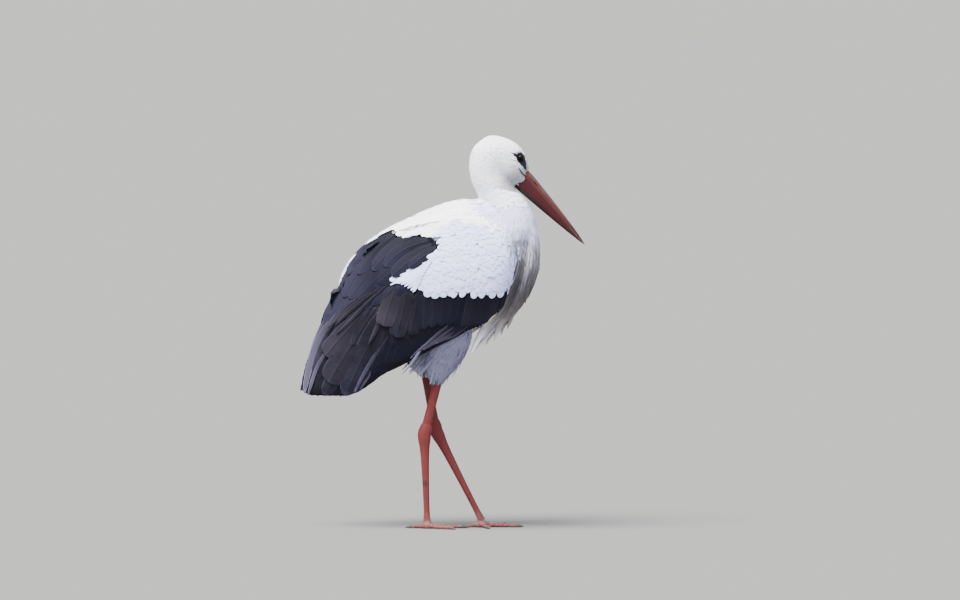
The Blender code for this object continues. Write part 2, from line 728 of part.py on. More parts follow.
cuts = [(side_view(behind), upward_normal(behind, ahead))
        for behind, ahead in (HEAD_CUT, NECK_CUT, TRUNK_CUT)]
flesh_parts = []
for index, name in enumerate(("head", "neck_upper", "neck_lower", "trunk")):
    piece = duplicate(flesh, name, stork)
    if index > 0:
        point, normal = cuts[index - 1]
        keep_side(piece, point - normal * (GAP / 2), normal)
    if index < len(cuts):
        point, normal = cuts[index]
        keep_side(piece, point + normal * (GAP / 2), -normal)
    flesh_parts.append(piece)
head = flesh_parts[0]
combine(head, [bill_upper, bill_lower, eye_right, eye_left], "DIFFERENCE", GAP)
for piece in flesh_parts:
    finish(piece, WHITE, FEATHER_ROUGHNESS)
finish(plumes, CREAM, FEATHER_ROUGHNESS)
finish(tail, WHITE, FEATHER_ROUGHNESS)
finish(bill_upper, BILL_RED, HORN_ROUGHNESS)
finish(bill_lower, BILL_RED, HORN_ROUGHNESS)
finish(eye_right, EYE_BLACK, EYE_ROUGHNESS)
finish(eye_left, EYE_BLACK, EYE_ROUGHNESS)

for form in (flesh, neck_column, trunk_form, right_wing):
    form.display_type = "WIRE"
    form.hide_render = True

# The whole bird hangs on one empty, moved so that the origin lies under its middle on the floor.
corners = [spot.co for solid in stork.objects for spot in solid.data.vertices]
middle_x = (min(spot.x for spot in corners) + max(spot.x for spot in corners)) / 2
middle_y = (min(spot.y for spot in corners) + max(spot.y for spot in corners)) / 2
centre = bpy.data.objects.new("centre", None)
bpy.context.scene.collection.objects.link(centre)
for solid in stork.objects:
    solid.parent = centre
centre.location = (-middle_x, -middle_y, 0)
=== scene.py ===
"""White stork, life size, in mid-stride: its skin, plumage, bill, eyes and legs over the solids.

The bird faces +X, its left side is +Y and the floor is z = 0.  Everything is in metres.
"""
import itertools
import math

import bmesh
import bpy
import numpy as np
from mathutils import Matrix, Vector
from mathutils.bvhtree import BVHTree


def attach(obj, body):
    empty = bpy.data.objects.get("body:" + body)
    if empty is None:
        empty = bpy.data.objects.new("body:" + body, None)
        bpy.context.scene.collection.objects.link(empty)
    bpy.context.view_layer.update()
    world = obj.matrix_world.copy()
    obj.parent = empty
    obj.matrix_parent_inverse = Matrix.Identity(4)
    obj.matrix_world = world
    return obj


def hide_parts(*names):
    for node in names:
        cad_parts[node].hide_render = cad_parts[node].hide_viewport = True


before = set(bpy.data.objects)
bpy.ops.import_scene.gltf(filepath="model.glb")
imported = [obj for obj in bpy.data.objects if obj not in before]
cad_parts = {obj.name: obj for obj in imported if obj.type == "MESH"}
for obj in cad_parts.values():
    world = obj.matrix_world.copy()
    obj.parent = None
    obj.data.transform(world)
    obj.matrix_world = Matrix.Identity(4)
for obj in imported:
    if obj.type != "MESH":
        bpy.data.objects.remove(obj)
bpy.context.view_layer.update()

# ---------------------------------------------------------------------------------------------
# Body skin
# The bird's hide under its feathers: one closed skin over head, neck, trunk, thighs, folded wings
# and tail stump.  It is white under the white coat, black under the quills of the wings and painted
# grey for shade under the thighs' thin feathers.
# ---------------------------------------------------------------------------------------------
MM = 0.001
WING_GROUPS = ("coverts", "scapulars", "secondaries", "tertials", "primaries")
FLESH = ("head", "neck_upper", "neck_lower", "trunk", "thigh_left", "thigh_right")
WINGS = tuple(f"{group}_{side}" for group in WING_GROUPS for side in ("left", "right"))
FEATHERED = FLESH + ("breast_plumes", "tail") + WINGS
DARK = ("scapulars", "secondaries", "tertials", "primaries")
COAT_DEPTH = {"head": 2.4 * MM, "neck_upper": 4.5 * MM, "neck_lower": 7 * MM, "trunk": 7 * MM,
              "breast_plumes": 11 * MM, "tail": 3 * MM, "thigh_left": 6 * MM,
              "thigh_right": 6 * MM}
WING_COAT_DEPTH = 5.5 * MM
CLEAR_OF_BIRD = 0.3
WIDEST_STEP = 8 * MM  # a bigger step in depth, seen from the side, is a gap in the form
OFF_MIDDLE = 0.02  # where a line that starts past the form's outline looks for the form


def summed(operation, swapped=False):
    """A method that joins a wire and another value in a Math node, the wire second if swapped."""
    def method(self, other):
        return self.finish.maths(operation, *((other, self) if swapped else (self, other)))
    return method


class Wire:
    """A number, colour or vector on its way between two nodes of a finish."""

    def __init__(self, finish, socket):
        self.finish = finish
        self.socket = socket

    __add__, __radd__ = summed("ADD"), summed("ADD", True)
    __sub__, __rsub__ = summed("SUBTRACT"), summed("SUBTRACT", True)
    __mul__, __rmul__ = summed("MULTIPLY"), summed("MULTIPLY", True)
    __truediv__, __pow__ = summed("DIVIDE"), summed("POWER")


class Finish:
    """A material in the making."""

    def __init__(self, name):
        self.material = bpy.data.materials.new(name)
        self.material.use_nodes = True
        self.tree = self.material.node_tree
        self.shader = self.tree.nodes["Principled BSDF"]

    def node(self, kind, settings, sockets, output=0):
        made = self.tree.nodes.new(kind)
        for name, value in settings.items():
            if name == "stops":
                ramp = made.color_ramp
                while len(ramp.elements) < len(value):
                    ramp.elements.new(0.5)
                for element, (place, colour) in zip(ramp.elements, value):
                    element.position = place
                    element.color = (*colour, 1.0)
            else:
                setattr(made, name, value)
        for name, value in sockets.items():
            if isinstance(value, Wire):
                self.tree.links.new(value.socket, made.inputs[name])
            else:
                made.inputs[name].default_value = value
        return Wire(self, made.outputs[output])

    def maths(self, operation, *values):
        return self.node("ShaderNodeMath", {"operation": operation}, dict(enumerate(values)))

    def vectors(self, operation, *values, output=0):
        return self.node("ShaderNodeVectorMath", {"operation": operation},
                         dict(enumerate(values)), output)

    def size(self, value):
        """A number without its sign."""
        return self.maths("ABSOLUTE", value)

    def part(self, vector, axis):
        """A vector's number along one axis: 0, 1 or 2."""
        return self.node("ShaderNodeSeparateXYZ", {}, {0: vector}, axis)

    def vector(self, x, y, z):
        return self.node("ShaderNodeCombineXYZ", {}, {"X": x, "Y": y, "Z": z})

    def place(self):
        """Where a point is, in the bird's own frame."""
        return self.node("ShaderNodeTexCoord", {}, {}, "Object")

    def stored(self, name):
        """A number stored on the mesh."""
        return self.node("ShaderNodeAttribute", {"attribute_name": name}, {}, "Fac")

    def limit(self, value, low, high):
        """A value's share of the way from low to high, eased and kept between the two ends."""
        return self.node("ShaderNodeMapRange", {"interpolation_type": "SMOOTHSTEP"},
                         {"Value": value, "From Min": low, "From Max": high})

    def cloud(self, place, scale, detail=2.0):
        """Soft random mottling, as fine as the scale says."""
        return self.node("ShaderNodeTexNoise", {},
                         {"Vector": place, "Scale": scale, "Detail": detail}, "Fac")

    def mix(self, share, first, second):
        first = first if isinstance(first, Wire) else (*first, 1.0)
        second = second if isinstance(second, Wire) else (*second, 1.0)
        return self.node("ShaderNodeMix", {"data_type": "RGBA"},
                         {"Factor": share, 6: first, 7: second}, 2)

    def bump(self, height, strength, distance):
        return self.node("ShaderNodeBump", {},
                         {"Height": height, "Strength": strength, "Distance": distance})

    def wear(self, piece, colour, roughness, normal=None, **constants):
        """Join the wires to the shader and put the material on a piece."""
        ends = {"Base Color": colour, "Roughness": roughness, "Normal": normal}
        for name, value in ends.items():
            if isinstance(value, Wire):
                self.tree.links.new(value.socket, self.shader.inputs[name])
            elif value is not None:
                self.shader.inputs[name].default_value = value
        for name, value in constants.items():
            self.shader.inputs[name.replace("_", " ")].default_value = value
        piece.data.materials.clear()
        piece.data.materials.append(self.material)


def dress(piece, worn, slot, *nodes, **constants):
    """Give a piece its finish, colour, gloss and relief, and its place in the frame."""
    finish, colour, gloss, relief = worn
    finish.wear(piece, colour, gloss, relief, **constants)
    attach(piece, "root")
    if nodes:
        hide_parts(*nodes)


def speckled(name, dark, pale, gloss, strength, distance):
    """A finish of fine random grain between two colours: bare skin and horn."""
    finish = Finish(name)
    grain = finish.cloud(finish.place(), 900.0, 3.0)
    return (finish, finish.mix(grain, dark, pale), gloss + 0.3 * grain,
            finish.bump(grain, strength, distance))


def joined(nodes):
    """The meshes of some nodes of the frame as one mesh, each welded shut."""
    built = bmesh.new()
    for node in nodes:
        built.from_mesh(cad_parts[node].data)
    bmesh.ops.remove_doubles(built, verts=built.verts, dist=1e-5)
    mesh = bpy.data.meshes.new("joined")
    built.to_mesh(mesh)
    built.free()
    mesh.materials.clear()
    return mesh


def as_object(name, mesh):
    piece = bpy.data.objects.new(name, mesh)
    bpy.context.scene.collection.objects.link(piece)
    return piece


def from_built(name, built):
    """A smooth piece made of a finished bmesh."""
    mesh = bpy.data.meshes.new(name)
    built.to_mesh(mesh)
    built.free()
    mesh.shade_smooth()
    return as_object(name, mesh)


def settle(piece):
    """Turn what a piece's modifiers show into its own mesh."""
    ready = piece.evaluated_get(bpy.context.evaluated_depsgraph_get())
    mesh = bpy.data.meshes.new_from_object(ready)
    mesh.name = piece.name
    piece.modifiers.clear()
    piece.data = mesh
    return piece


def grown_over(name, nodes, cell, rounds):
    """One even skin over some nodes, with their gaps closed and their facets smoothed."""
    piece = as_object(name, joined(nodes))
    net = piece.modifiers.new("net", "REMESH")
    net.mode = "VOXEL"
    net.voxel_size = cell
    net.use_smooth_shade = True
    ease = piece.modifiers.new("ease", "SMOOTH")
    ease.factor = 0.5
    ease.iterations = rounds
    return settle(piece)


def eased_where(piece, name, weights, rounds):
    """Smooth a piece's points where their weight is over nothing."""
    group = piece.vertex_groups.new(name=name)
    for index in np.nonzero(weights > 0)[0].tolist():
        group.add([index], min(weights[index], 1.0), "REPLACE")
    ease = piece.modifiers.new("ease", "SMOOTH")
    ease.iterations = rounds
    ease.vertex_group = group.name


def coordinates(mesh):
    places = np.empty(len(mesh.vertices) * 3, np.float32)
    mesh.vertices.foreach_get("co", places)
    return places.reshape(-1, 3).astype(float)


def unit(rows):
    return rows / np.maximum(np.linalg.norm(rows, axis=-1, keepdims=True), 1e-9)


def ease_lines(values, rounds):
    """Even out values along their lines, each with its two neighbours; the ends stay."""
    for _ in range(rounds):
        values[:, 1:-1] = (values[:, :-2] + 2 * values[:, 1:-1] + values[:, 2:]) / 4


def height_on(line, along):
    """The height of a line in side view, listed front to back, at some places along the bird."""
    return np.interp(-along, [-x for x, _ in line], [z for _, z in line])


class Form:
    """The outer shape of the coat, on which every feather is laid."""

    def __init__(self, mesh):
        self.corners = coordinates(mesh)
        normals = np.empty(len(mesh.vertices) * 3, np.float32)
        mesh.vertex_normals.foreach_get("vector", normals)
        self.normals = normals.reshape(-1, 3).astype(float)
        faces = [tuple(face.vertices) for face in mesh.polygons]
        self.faces = np.array([face if len(face) == 4 else face + face[-1:] for face in faces])
        self.tree = BVHTree.FromPolygons(self.corners.tolist(), faces)
        self.face_normals = unit(self.normals[self.faces].mean(axis=1))

    def nearest(self, places):
        """The closest points of the form to some places, and the way out there."""
        found = [self.tree.find_nearest(place) for place in places.reshape(-1, 3).tolist()]
        spots = np.array([hit[0] for hit in found]).reshape(places.shape)
        outs = self.face_normals[[hit[2] for hit in found]].reshape(places.shape)
        return spots, outs

    def from_side(self, lines, side):
        """Points of the form as seen square from one side, along lines of x and z.

        A point past the form's outline, or across a gap, keeps the depth of the one before it.
        Depth and facing are eased along each line.
        """
        spots = []
        outs = []
        for line in lines.tolist():
            depth = facing = None
            for x, z in line:
                hit = self.tree.ray_cast((x, side * CLEAR_OF_BIRD, z), (0, -side, 0))
                if depth is None and hit[0] is None:
                    hit = self.tree.find_nearest((x, side * OFF_MIDDLE, z))
                if hit[0] is not None and (
                        depth is None or abs(hit[0][1] - depth) < WIDEST_STEP):
                    depth, facing = hit[0][1], self.face_normals[hit[2]]
                spots.append((x, depth, z))
                outs.append(facing)
        shape = (*lines.shape[:-1], 3)
        spots, outs = np.array(spots).reshape(shape), np.array(outs).reshape(shape)
        ease_lines(spots[..., 1], 3)
        ease_lines(outs, 3)
        return spots, outs


# The form of the coat, with the joins of head and neck smoothed, and most of all the nape.
NECK_RISE = 0.70
NAPE_PLACE = (0.072, 0.812)
NAPE_REACH = 0.045
coat_form = grown_over("coat_form", FEATHERED, cell=3.2 * MM, rounds=5)
corners = coordinates(coat_form.data)
eased_where(coat_form, "head_and_neck", (corners[:, 2] - NECK_RISE) / 0.03, rounds=14)
from_nape = np.linalg.norm(corners[:, [0, 2]] - NAPE_PLACE, axis=1)
eased_where(coat_form, "nape", 1 - (from_nape / NAPE_REACH) ** 2, rounds=60)
form = Form(settle(coat_form).data)

# Which solid each face of the form belongs to.
owner_names = []
owner_faces = []
owner_places = []
for node in FEATHERED:
    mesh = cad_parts[node].data
    first = len(owner_places)
    owner_places += [vert.co[:] for vert in mesh.vertices]
    owner_faces += [tuple(first + v for v in face.vertices) for face in mesh.polygons]
    owner_names += [node] * len(mesh.polygons)
owner_tree = BVHTree.FromPolygons(owner_places, owner_faces)


def owners(places):
    return np.array([owner_names[owner_tree.find_nearest(place)[2]] for place in places.tolist()])


def inset_by_coat(places, outs):
    """How far the skin lies under the coat at some points, never past the middle of a thin part."""
    depths = []
    for place, out, owner in zip(places.tolist(), outs.tolist(), owners(places)):
        inward = [-value for value in out]
        start = [value + 0.5 * MM * step for value, step in zip(place, inward)]
        hit = form.tree.ray_cast(start, inward)
        thickness = hit[3] if hit[0] is not None else 1.0
        depths.append(min(COAT_DEPTH.get(owner, WING_COAT_DEPTH), 0.42 * thickness))
    return np.array(depths)


def store(mesh, name, values):
    mesh.attributes.new(name, "FLOAT", "POINT").data.foreach_set(
        "value", values.astype(np.float32))


depth = inset_by_coat(form.corners, form.normals)
body_skin = as_object("body_skin", coat_form.data.copy())
hide = form.corners - form.normals * depth[:, None]
corner_owner = owners(form.corners)
thigh_shade_skin = np.array([owner.startswith("thigh") for owner in corner_owner])
# The hide under the breast's free plumes draws up to where they grow.
PLUME_ROOT_X, PLUME_ROOT_Z = 0.135, 0.462
drawn = np.clip((PLUME_ROOT_Z - 0.010 - hide[:, 2]) / 0.020, 0, 1)
drawn = drawn * (corner_owner == "breast_plumes")
plume_root = np.stack([np.full(len(hide), PLUME_ROOT_X), hide[:, 1] * 0.5,
                       np.full(len(hide), PLUME_ROOT_Z)], axis=-1)
hide += (plume_root - hide) * (0.9 * drawn)[:, None]
# Each thigh's end narrows to a stump inside the top of the bare leg.
STUMP = 0.014
for side in (-1, 1):
    thigh_end = thigh_shade_skin & (hide[:, 1] * side > 0)
    lowest = hide[thigh_end].min(axis=0)[2]
    end = hide[thigh_end & (hide[:, 2] < lowest + 4 * MM)].mean(axis=0)
    stump = thigh_end * np.clip((lowest + STUMP - hide[:, 2]) / STUMP, 0, 1)
    hide[:, :2] += (end[:2] - hide[:, :2]) * (0.35 * stump)[:, None]
    hide[:, 2] -= 0.011 * stump
body_skin.data.vertices.foreach_set("co", hide.astype(np.float32).ravel())
# Dark under the black quills, up to where the white back begins.
WHITE_BACK = ((0.02, 0.600), (-0.05, 0.625), (-0.12, 0.640))
dark_skin = np.array([owner.rsplit("_", 1)[0] in DARK for owner in corner_owner])
dark_skin &= form.corners[:, 2] < height_on(WHITE_BACK, form.corners[:, 0])
# Under the thighs the skin is painted grey as well: painted shade, like the thighs' coat.
store(body_skin.data, "dark", np.maximum(dark_skin, 0.70 * thigh_shade_skin))
body_skin.data.update()

finish = Finish("feathered_skin")
pores = finish.cloud(finish.place(), 600.0)
colour = finish.mix(finish.stored("dark"), (0.62, 0.62, 0.66), (0.009, 0.0085, 0.012))
dress(body_skin, (finish, colour, 0.75 + 0.2 * pores, finish.bump(pores, 0.5, 0.4 * MM)),
      "white_plumage", *FLESH, Specular_IOR_Level=0.1)

# A flat plan of the skin, cut into patches: it says where on the bake map a feather's root lies.
plan = as_object("skin_plan", coat_form.data.copy())
thin = plan.modifiers.new("thin", "DECIMATE")
thin.ratio = 0.2
plan_mesh = settle(plan).data
bpy.context.view_layer.objects.active = plan
for other in bpy.context.selected_objects:
    other.select_set(False)
plan.select_set(True)
bpy.ops.object.mode_set(mode="EDIT")
bpy.ops.mesh.select_all(action="SELECT")
bpy.ops.uv.smart_project(angle_limit=math.radians(66), island_margin=0.004)
bpy.ops.object.mode_set(mode="OBJECT")
plan_mesh.calc_loop_triangles()
plan_corners = coordinates(plan_mesh)
plan_map = np.empty(len(plan_mesh.loops) * 2, np.float32)
plan_mesh.uv_layers.active.uv.foreach_get("vector", plan_map)
plan_map = plan_map.reshape(-1, 2)
plan_triangles = [tuple(tri.vertices) for tri in plan_mesh.loop_triangles]
plan_loops = [tuple(tri.loops) for tri in plan_mesh.loop_triangles]
plan_tree = BVHTree.FromPolygons(plan_corners.tolist(), plan_triangles)


def on_plan(places):
    """The places of some points on the flat plan of the skin."""
    result = []
    for place in places.tolist():
        spot, _, index, _ = plan_tree.find_nearest(place)
        a, b, c = (plan_corners[v] for v in plan_triangles[index])
        edges = np.stack([b - a, c - a])
        share = np.linalg.lstsq(edges.T, np.array(spot) - a, rcond=None)[0]
        weights = np.clip([1 - share.sum(), *share], 0, 1)
        result.append(weights / weights.sum() @ plan_map[list(plan_loops[index])])
    return np.array(result)


bpy.data.objects.remove(plan)
bpy.data.objects.remove(coat_form)

# ---------------------------------------------------------------------------------------------
# Wing quills
# Each folded wing carries its stiff black quills in fans: primaries lowest, then secondaries,
# their black coverts, tertials and, on top, the long scapulars that grow from the shoulder.
# ---------------------------------------------------------------------------------------------
SIDES = ((-1, "right"), (1, "left"))
BAKE_PATCH = 0.003
QUILL_ROWS = 15
QUILL_SHINE = 0.08
FRAY = 0.12  # the most that a worn rim narrows a quill
LIFT_EASE = 0.7  # feathers rise fast from their roots, then lie along
STRAY = 1.5 * MM  # a quill further than this off the form is drawn back to it
FACE_OUT = 0.35  # how far quills turn to face square out from the wing
LIE_REACH = 4e-5  # squared distance within which a place that gives the lie pulls no harder
LIE_PULL = 0.3  # how much a feather turns to the coat's lie at each step of its way
LET_GO = 0.45  # how far the form may turn away before a free feather leaves it
# Sections across a feather: a place from rim to rim, and its layer (2 the shaft, 1 the top, 0 the
# rim, -1 the underside).
RIB = ((-1.0, 0), (-0.6, 1), (-0.22, 1), (-0.05, 1), (0.0, 2), (0.05, 1), (0.22, 1), (0.6, 1),
       (1.0, 0), (0.6, -1), (0.0, -1), (-0.6, -1))
VANE = ((-1.0, 0), (-0.5, 1), (0.0, 1), (0.5, 1), (1.0, 0), (0.5, -1), (0.0, -1), (-0.5, -1))
BARB = ((-1.0, 0), (0.0, 1), (1.0, 0), (0.0, -1))
chance = np.random.default_rng(11)


def varied(count, spread):
    """Random factors about 1."""
    return 1 + spread * chance.normal(0, 1, count)


def through(line, shares):
    """Points of a smooth curve through a line of points, at shares of its count of spans."""
    line = np.asarray(line, float)
    spans = len(line) - 1
    place = np.clip(np.asarray(shares, float), 0, 1) * spans
    span = np.minimum(place.astype(int), spans - 1)
    t = (place - span)[..., None]
    p0, p1 = line[np.maximum(span - 1, 0)], line[span]
    p2, p3 = line[span + 1], line[np.minimum(span + 2, spans)]
    bend = 2 * p0 - 5 * p1 + 4 * p2 - p3
    swing = 3 * p1 - p0 - 3 * p2 + p3
    return p1 + 0.5 * t * (p2 - p0 + t * (bend + t * swing))


def stations(rows):
    """Shares of a feather's length from root to tip, closer together towards the tip."""
    return 1 - (1 - np.linspace(0, 1, rows)) ** 1.6


def stepped(lines, rows):
    """Each line as points at a feather's stations."""
    return np.array([through(line, stations(rows)) for line in lines])


def vane_shape(rows, root, widest, blunt, point=2.0):
    """Half widths of a feather along its length: narrow root, widest part and rounded tip."""
    u = stations(rows)
    rise = root + (1 - root) * np.sin(np.minimum(u / widest, 1) * math.pi / 2)
    tail = np.clip((u - blunt) / (1 - blunt), 0, 1)
    return rise * np.maximum(np.sqrt(1 - tail ** point), 0.10)


def feathers(name, spines, outs, half_widths, tones, section, thickness, camber, lean=0.0):
    """One mesh of many feathers: spines run root to tip, and a section is swept along each."""
    count, rows = spines.shape[:2]
    heading = unit(np.gradient(spines, axis=1))
    across = unit(np.cross(heading, outs))
    outs = unit(np.cross(across, heading))
    v = np.array([place for place, _ in section])
    layer = np.array([height for _, height in section])
    ring = len(section)
    rise = np.where(layer > 0, 1 - v ** 2, np.where(layer < 0, -0.4 * (1 - v ** 2), 0))
    rise = rise * thickness + np.where(layer == 2, 0.7 * thickness, 0)
    drop = camber * half_widths[..., None] * v ** 2
    edge = lean * v * np.ones_like(half_widths)[..., None]
    height = rise - drop + edge
    places = (spines[:, :, None] + across[:, :, None] * (half_widths[..., None] * v)[..., None]
              + outs[:, :, None] * height[..., None])
    mesh = bpy.data.meshes.new(name)
    first = (np.arange(count) * rows * ring)[:, None, None]
    row = (np.arange(rows - 1) * ring)[None, :, None]
    step = np.arange(ring)[None, None, :]
    following = (step + 1) % ring
    quads = np.stack([first + row + step, first + row + following,
                      first + row + ring + following, first + row + ring + step], axis=-1)
    quads = quads.reshape(count, -1)
    caps = np.concatenate([first[:, 0] + np.arange(ring)[::-1],
                           first[:, 0] + (rows - 1) * ring + np.arange(ring)], axis=1)
    loops = np.concatenate([quads, caps], axis=1)
    sizes = np.concatenate([np.full((rows - 1) * ring, 4), [ring, ring]])
    starts = np.concatenate([[0], np.cumsum(sizes)[:-1]])
    starts = (np.arange(count) * loops.shape[1])[:, None] + starts
    mesh.vertices.add(count * rows * ring)
    mesh.loops.add(loops.size)
    mesh.polygons.add(starts.size)
    mesh.vertices.foreach_set("co", places.astype(np.float32).ravel())
    mesh.loops.foreach_set("vertex_index", loops.astype(np.int32).ravel())
    mesh.polygons.foreach_set("loop_start", starts.astype(np.int32).ravel())
    mesh.update(calc_edges=True)
    mesh.shade_smooth()

    lengths = np.linalg.norm(np.diff(spines, axis=1), axis=-1).sum(axis=1)
    along, beside, tone, length = (
        np.broadcast_to(values, (count, rows, ring))
        for values in (stations(rows)[None, :, None], v, tones[:, None, None],
                       lengths[:, None, None]))
    store(mesh, "along", along.ravel())
    store(mesh, "beside", beside.ravel())
    store(mesh, "tone", tone.ravel())
    store(mesh, "length", length.ravel())
    ends = np.empty(len(mesh.edges) * 2, np.int32)
    mesh.edges.foreach_get("vertices", ends)
    rims = (np.abs(beside.ravel()) > 0.99)[ends.reshape(-1, 2)].all(axis=1)
    mesh.attributes.new("sharp_edge", "BOOLEAN", "EDGE").data.foreach_set("value", rims)

    centre = on_plan(spines[:, 0])[:, None, None]
    patch = np.stack([beside * 0.5, along - 0.5], axis=-1) * BAKE_PATCH
    spread = np.clip(centre + patch, 0.0, 1.0).reshape(-1, 2)
    mesh.uv_layers.new(name="OFBake").uv.foreach_set(
        "vector", spread[loops.ravel()].astype(np.float32).ravel())
    return as_object(name, mesh)


def gathered(parts):
    """Several lots of spines, facings, half widths and tones as one lot."""
    return [np.concatenate(column) for column in zip(*parts)]


def chosen(keep, *columns):
    """The feathers to keep of a lot, each with a random tone."""
    return [column[keep] for column in columns] + [chance.random(int(keep.sum()))]


def fanned(roots, tips, count, bow=0.0):
    """Lines of three points from an even run of roots to an even run of tips, bowed sideways."""
    shares = np.linspace(0, 1, count)
    root = through(roots, shares)
    tip = through(tips, shares)
    run = tip - root
    middle = (root + tip) / 2 + np.stack([-run[:, 1], run[:, 0]], axis=-1) * bow
    return np.stack([root, middle, tip], axis=1)


class Fan:
    """Quills that lie side by side on a wing, gathered until their piece is made."""

    def __init__(self):
        self.rows = []

    def add(self, side, lines, width, low, high, lean=0.5 * MM, root_share=0.5, widest=0.45,
            blunt=0.72, point=2.0, cast=0.0, spread=0.9):
        """Quills along lines in side view; low and high are the heights of root and tip.

        Cast is how worn and pale the quills are, and spread how much that varies.
        """
        count = len(lines)
        shares = stations(QUILL_ROWS)
        spots, outs = form.from_side(stepped(lines, QUILL_ROWS), side)
        near, facing = form.nearest(spots)
        # Where the form bends away under a quill, the quill follows it.
        stray = np.linalg.norm(near - spots, axis=-1, keepdims=True) > STRAY
        spots = np.where(stray, near, spots)
        outs = np.where(stray, facing, outs)
        ease_lines(spots, 3)
        ease_lines(outs, 8)
        outs[..., 1] += side * FACE_OUT
        outs = unit(outs)
        low = np.broadcast_to(low, count)[:, None]
        high = np.broadcast_to(high, count)[:, None]
        height = low + (high - low) * shares ** LIFT_EASE
        spots = spots + outs * height[..., None]
        shape = vane_shape(QUILL_ROWS, root=root_share, widest=widest, blunt=blunt, point=point)
        widths = np.broadcast_to(width, count)[:, None] * shape * 0.5
        widths = widths * (1 - FRAY * chance.random((count, QUILL_ROWS)) ** 3)
        tones = np.clip(chance.random(count) * spread + cast, 0, 1)
        self.rows.append((spots, outs, widths, tones, np.full(count, lean * side)))

    def place(self, side, table, low, **shape):
        """Quills from a table of lines, widths and tip heights in millimetres."""
        lines, widths, tips = zip(*table)
        self.add(side, lines, np.array(widths) * MM, low, np.array(tips) * MM, **shape)

    def piece(self, name, thickness, camber=0.05):
        *vanes, lean = gathered(self.rows)
        # Vanes that face up or back lie over the narrow ridge, and bend round it.
        bend = camber + 0.5 * np.clip(0.85 - np.abs(vanes[1][..., 1]).mean(axis=1), 0, 0.5)
        return feathers(name, *vanes, RIB, thickness, bend[:, None, None], lean[:, None, None])


def quill_finish(name, base, worn, edge, edge_share, roughness=0.48):
    """Dark vanes whose barbs run out from the shaft, faded at rims and tip; painted shade darkens
    the root.
    """
    finish = Finish(name)
    along = finish.stored("along")
    beside = finish.stored("beside")
    tone = finish.stored("tone")
    out = finish.size(beside)
    barb = along * finish.stored("length") - out * 0.012
    streak = finish.cloud(finish.vector(barb, out * 0.002, tone * 7.0 + beside * 0.01), 260.0, 3.0)
    broad = finish.cloud(finish.place(), 28.0, 3.0)
    frayed = finish.maths("MAXIMUM", finish.limit(out, 0.80, 1.0), finish.limit(along, 0.93, 1.0))
    body = finish.mix(finish.limit(tone * 0.6 + broad * 0.5 + streak * 0.35, 0.35, 1.0),
                      base, worn)
    pale = frayed * (0.25 + 1.1 * streak) * edge_share * finish.limit(tone, 0.15, 0.50)
    colour = finish.mix(pale, body, edge)
    shaft = (1.0 - finish.limit(out, 0.015, 0.05)) * 0.12
    colour = finish.mix(shaft, colour, edge)
    # Painted shade: the covered root half of each vane is darkened.
    colour = finish.mix((1.0 - finish.limit(along, 0.30, 0.85)) * 0.6, colour,
                        [value * 0.3 for value in base])
    gloss = roughness + 0.25 * streak + 0.1 * frayed
    return finish, colour, gloss, finish.bump(streak, 0.35, 0.5 * MM)


# How the coat lies, in side view: a place, and the way feathers there point.
LIE = np.array((
    (0.183, 0.752, -0.70, 0.71), (0.165, 0.795, -0.80, 0.60), (0.145, 0.815, -0.95, 0.30),
    (0.115, 0.823, -1.0, -0.05), (0.085, 0.812, -0.80, -0.60), (0.066, 0.790, -0.35, -0.95),
    (0.058, 0.760, -0.05, -1.0), (0.172, 0.738, -0.92, 0.35), (0.155, 0.755, -0.95, 0.10),
    (0.130, 0.765, -0.90, -0.40), (0.105, 0.765, -0.50, -0.87), (0.085, 0.750, -0.10, -1.0),
    (0.160, 0.722, -0.90, -0.10), (0.147, 0.725, -0.60, -0.80), (0.140, 0.715, -0.10, -1.0),
    (0.100, 0.720, 0.0, -1.0), (0.075, 0.710, -0.10, -1.0), (0.150, 0.700, 0.25, -0.97),
    (0.180, 0.680, 0.25, -0.97), (0.198, 0.630, 0.02, -1.0), (0.200, 0.580, -0.08, -1.0),
    (0.190, 0.530, -0.25, -0.97), (0.165, 0.470, -0.55, -0.84), (0.130, 0.420, -0.60, -0.80),
    (0.120, 0.690, 0.0, -1.0), (0.095, 0.668, -0.45, -0.90), (0.135, 0.640, 0.05, -1.0),
    (0.070, 0.690, -1.0, -0.05), (0.040, 0.670, -0.98, -0.20), (-0.020, 0.660, -0.95, -0.30),
    (-0.080, 0.640, -0.93, -0.37), (-0.140, 0.600, -0.80, -0.60), (-0.190, 0.560, -0.60, -0.80),
    (-0.210, 0.520, -0.40, -0.90), (0.120, 0.600, -0.35, -0.94), (0.110, 0.550, -0.25, -0.97),
    (0.100, 0.500, -0.20, -0.98), (0.050, 0.610, -0.75, -0.66), (0.040, 0.550, -0.45, -0.90),
    (0.030, 0.500, -0.30, -0.95), (-0.020, 0.590, -0.80, -0.60), (-0.030, 0.520, -0.60, -0.80),
    (0.120, 0.450, -0.80, -0.60), (0.080, 0.420, -0.85, -0.50), (0.030, 0.390, -0.80, -0.60),
    (-0.030, 0.370, -0.85, -0.50), (-0.090, 0.360, -0.95, -0.20), (-0.150, 0.380, -0.90, -0.40),
    (0.020, 0.380, -0.40, -0.92), (0.000, 0.340, -0.25, -0.97), (-0.010, 0.310, -0.10, -1.0),
    (-0.040, 0.335, 0.0, -1.0), (-0.200, 0.450, -0.40, -0.90), (-0.230, 0.380, -0.40, -0.90)))


def lie_at(places, outs):
    """The way the coat lies at some points, along the form."""
    gap = ((places[:, None, [0, 2]] - LIE[None, :, :2]) ** 2).sum(axis=-1)
    weight = 1 / (gap + LIE_REACH) ** 2
    way = (weight[..., None] * LIE[None, :, 2:]).sum(axis=1)
    way = np.stack([way[:, 0], np.zeros(len(way)), way[:, 1]], axis=-1)
    way = unit(way)
    return unit(way - outs * (way * outs).sum(axis=-1, keepdims=True))


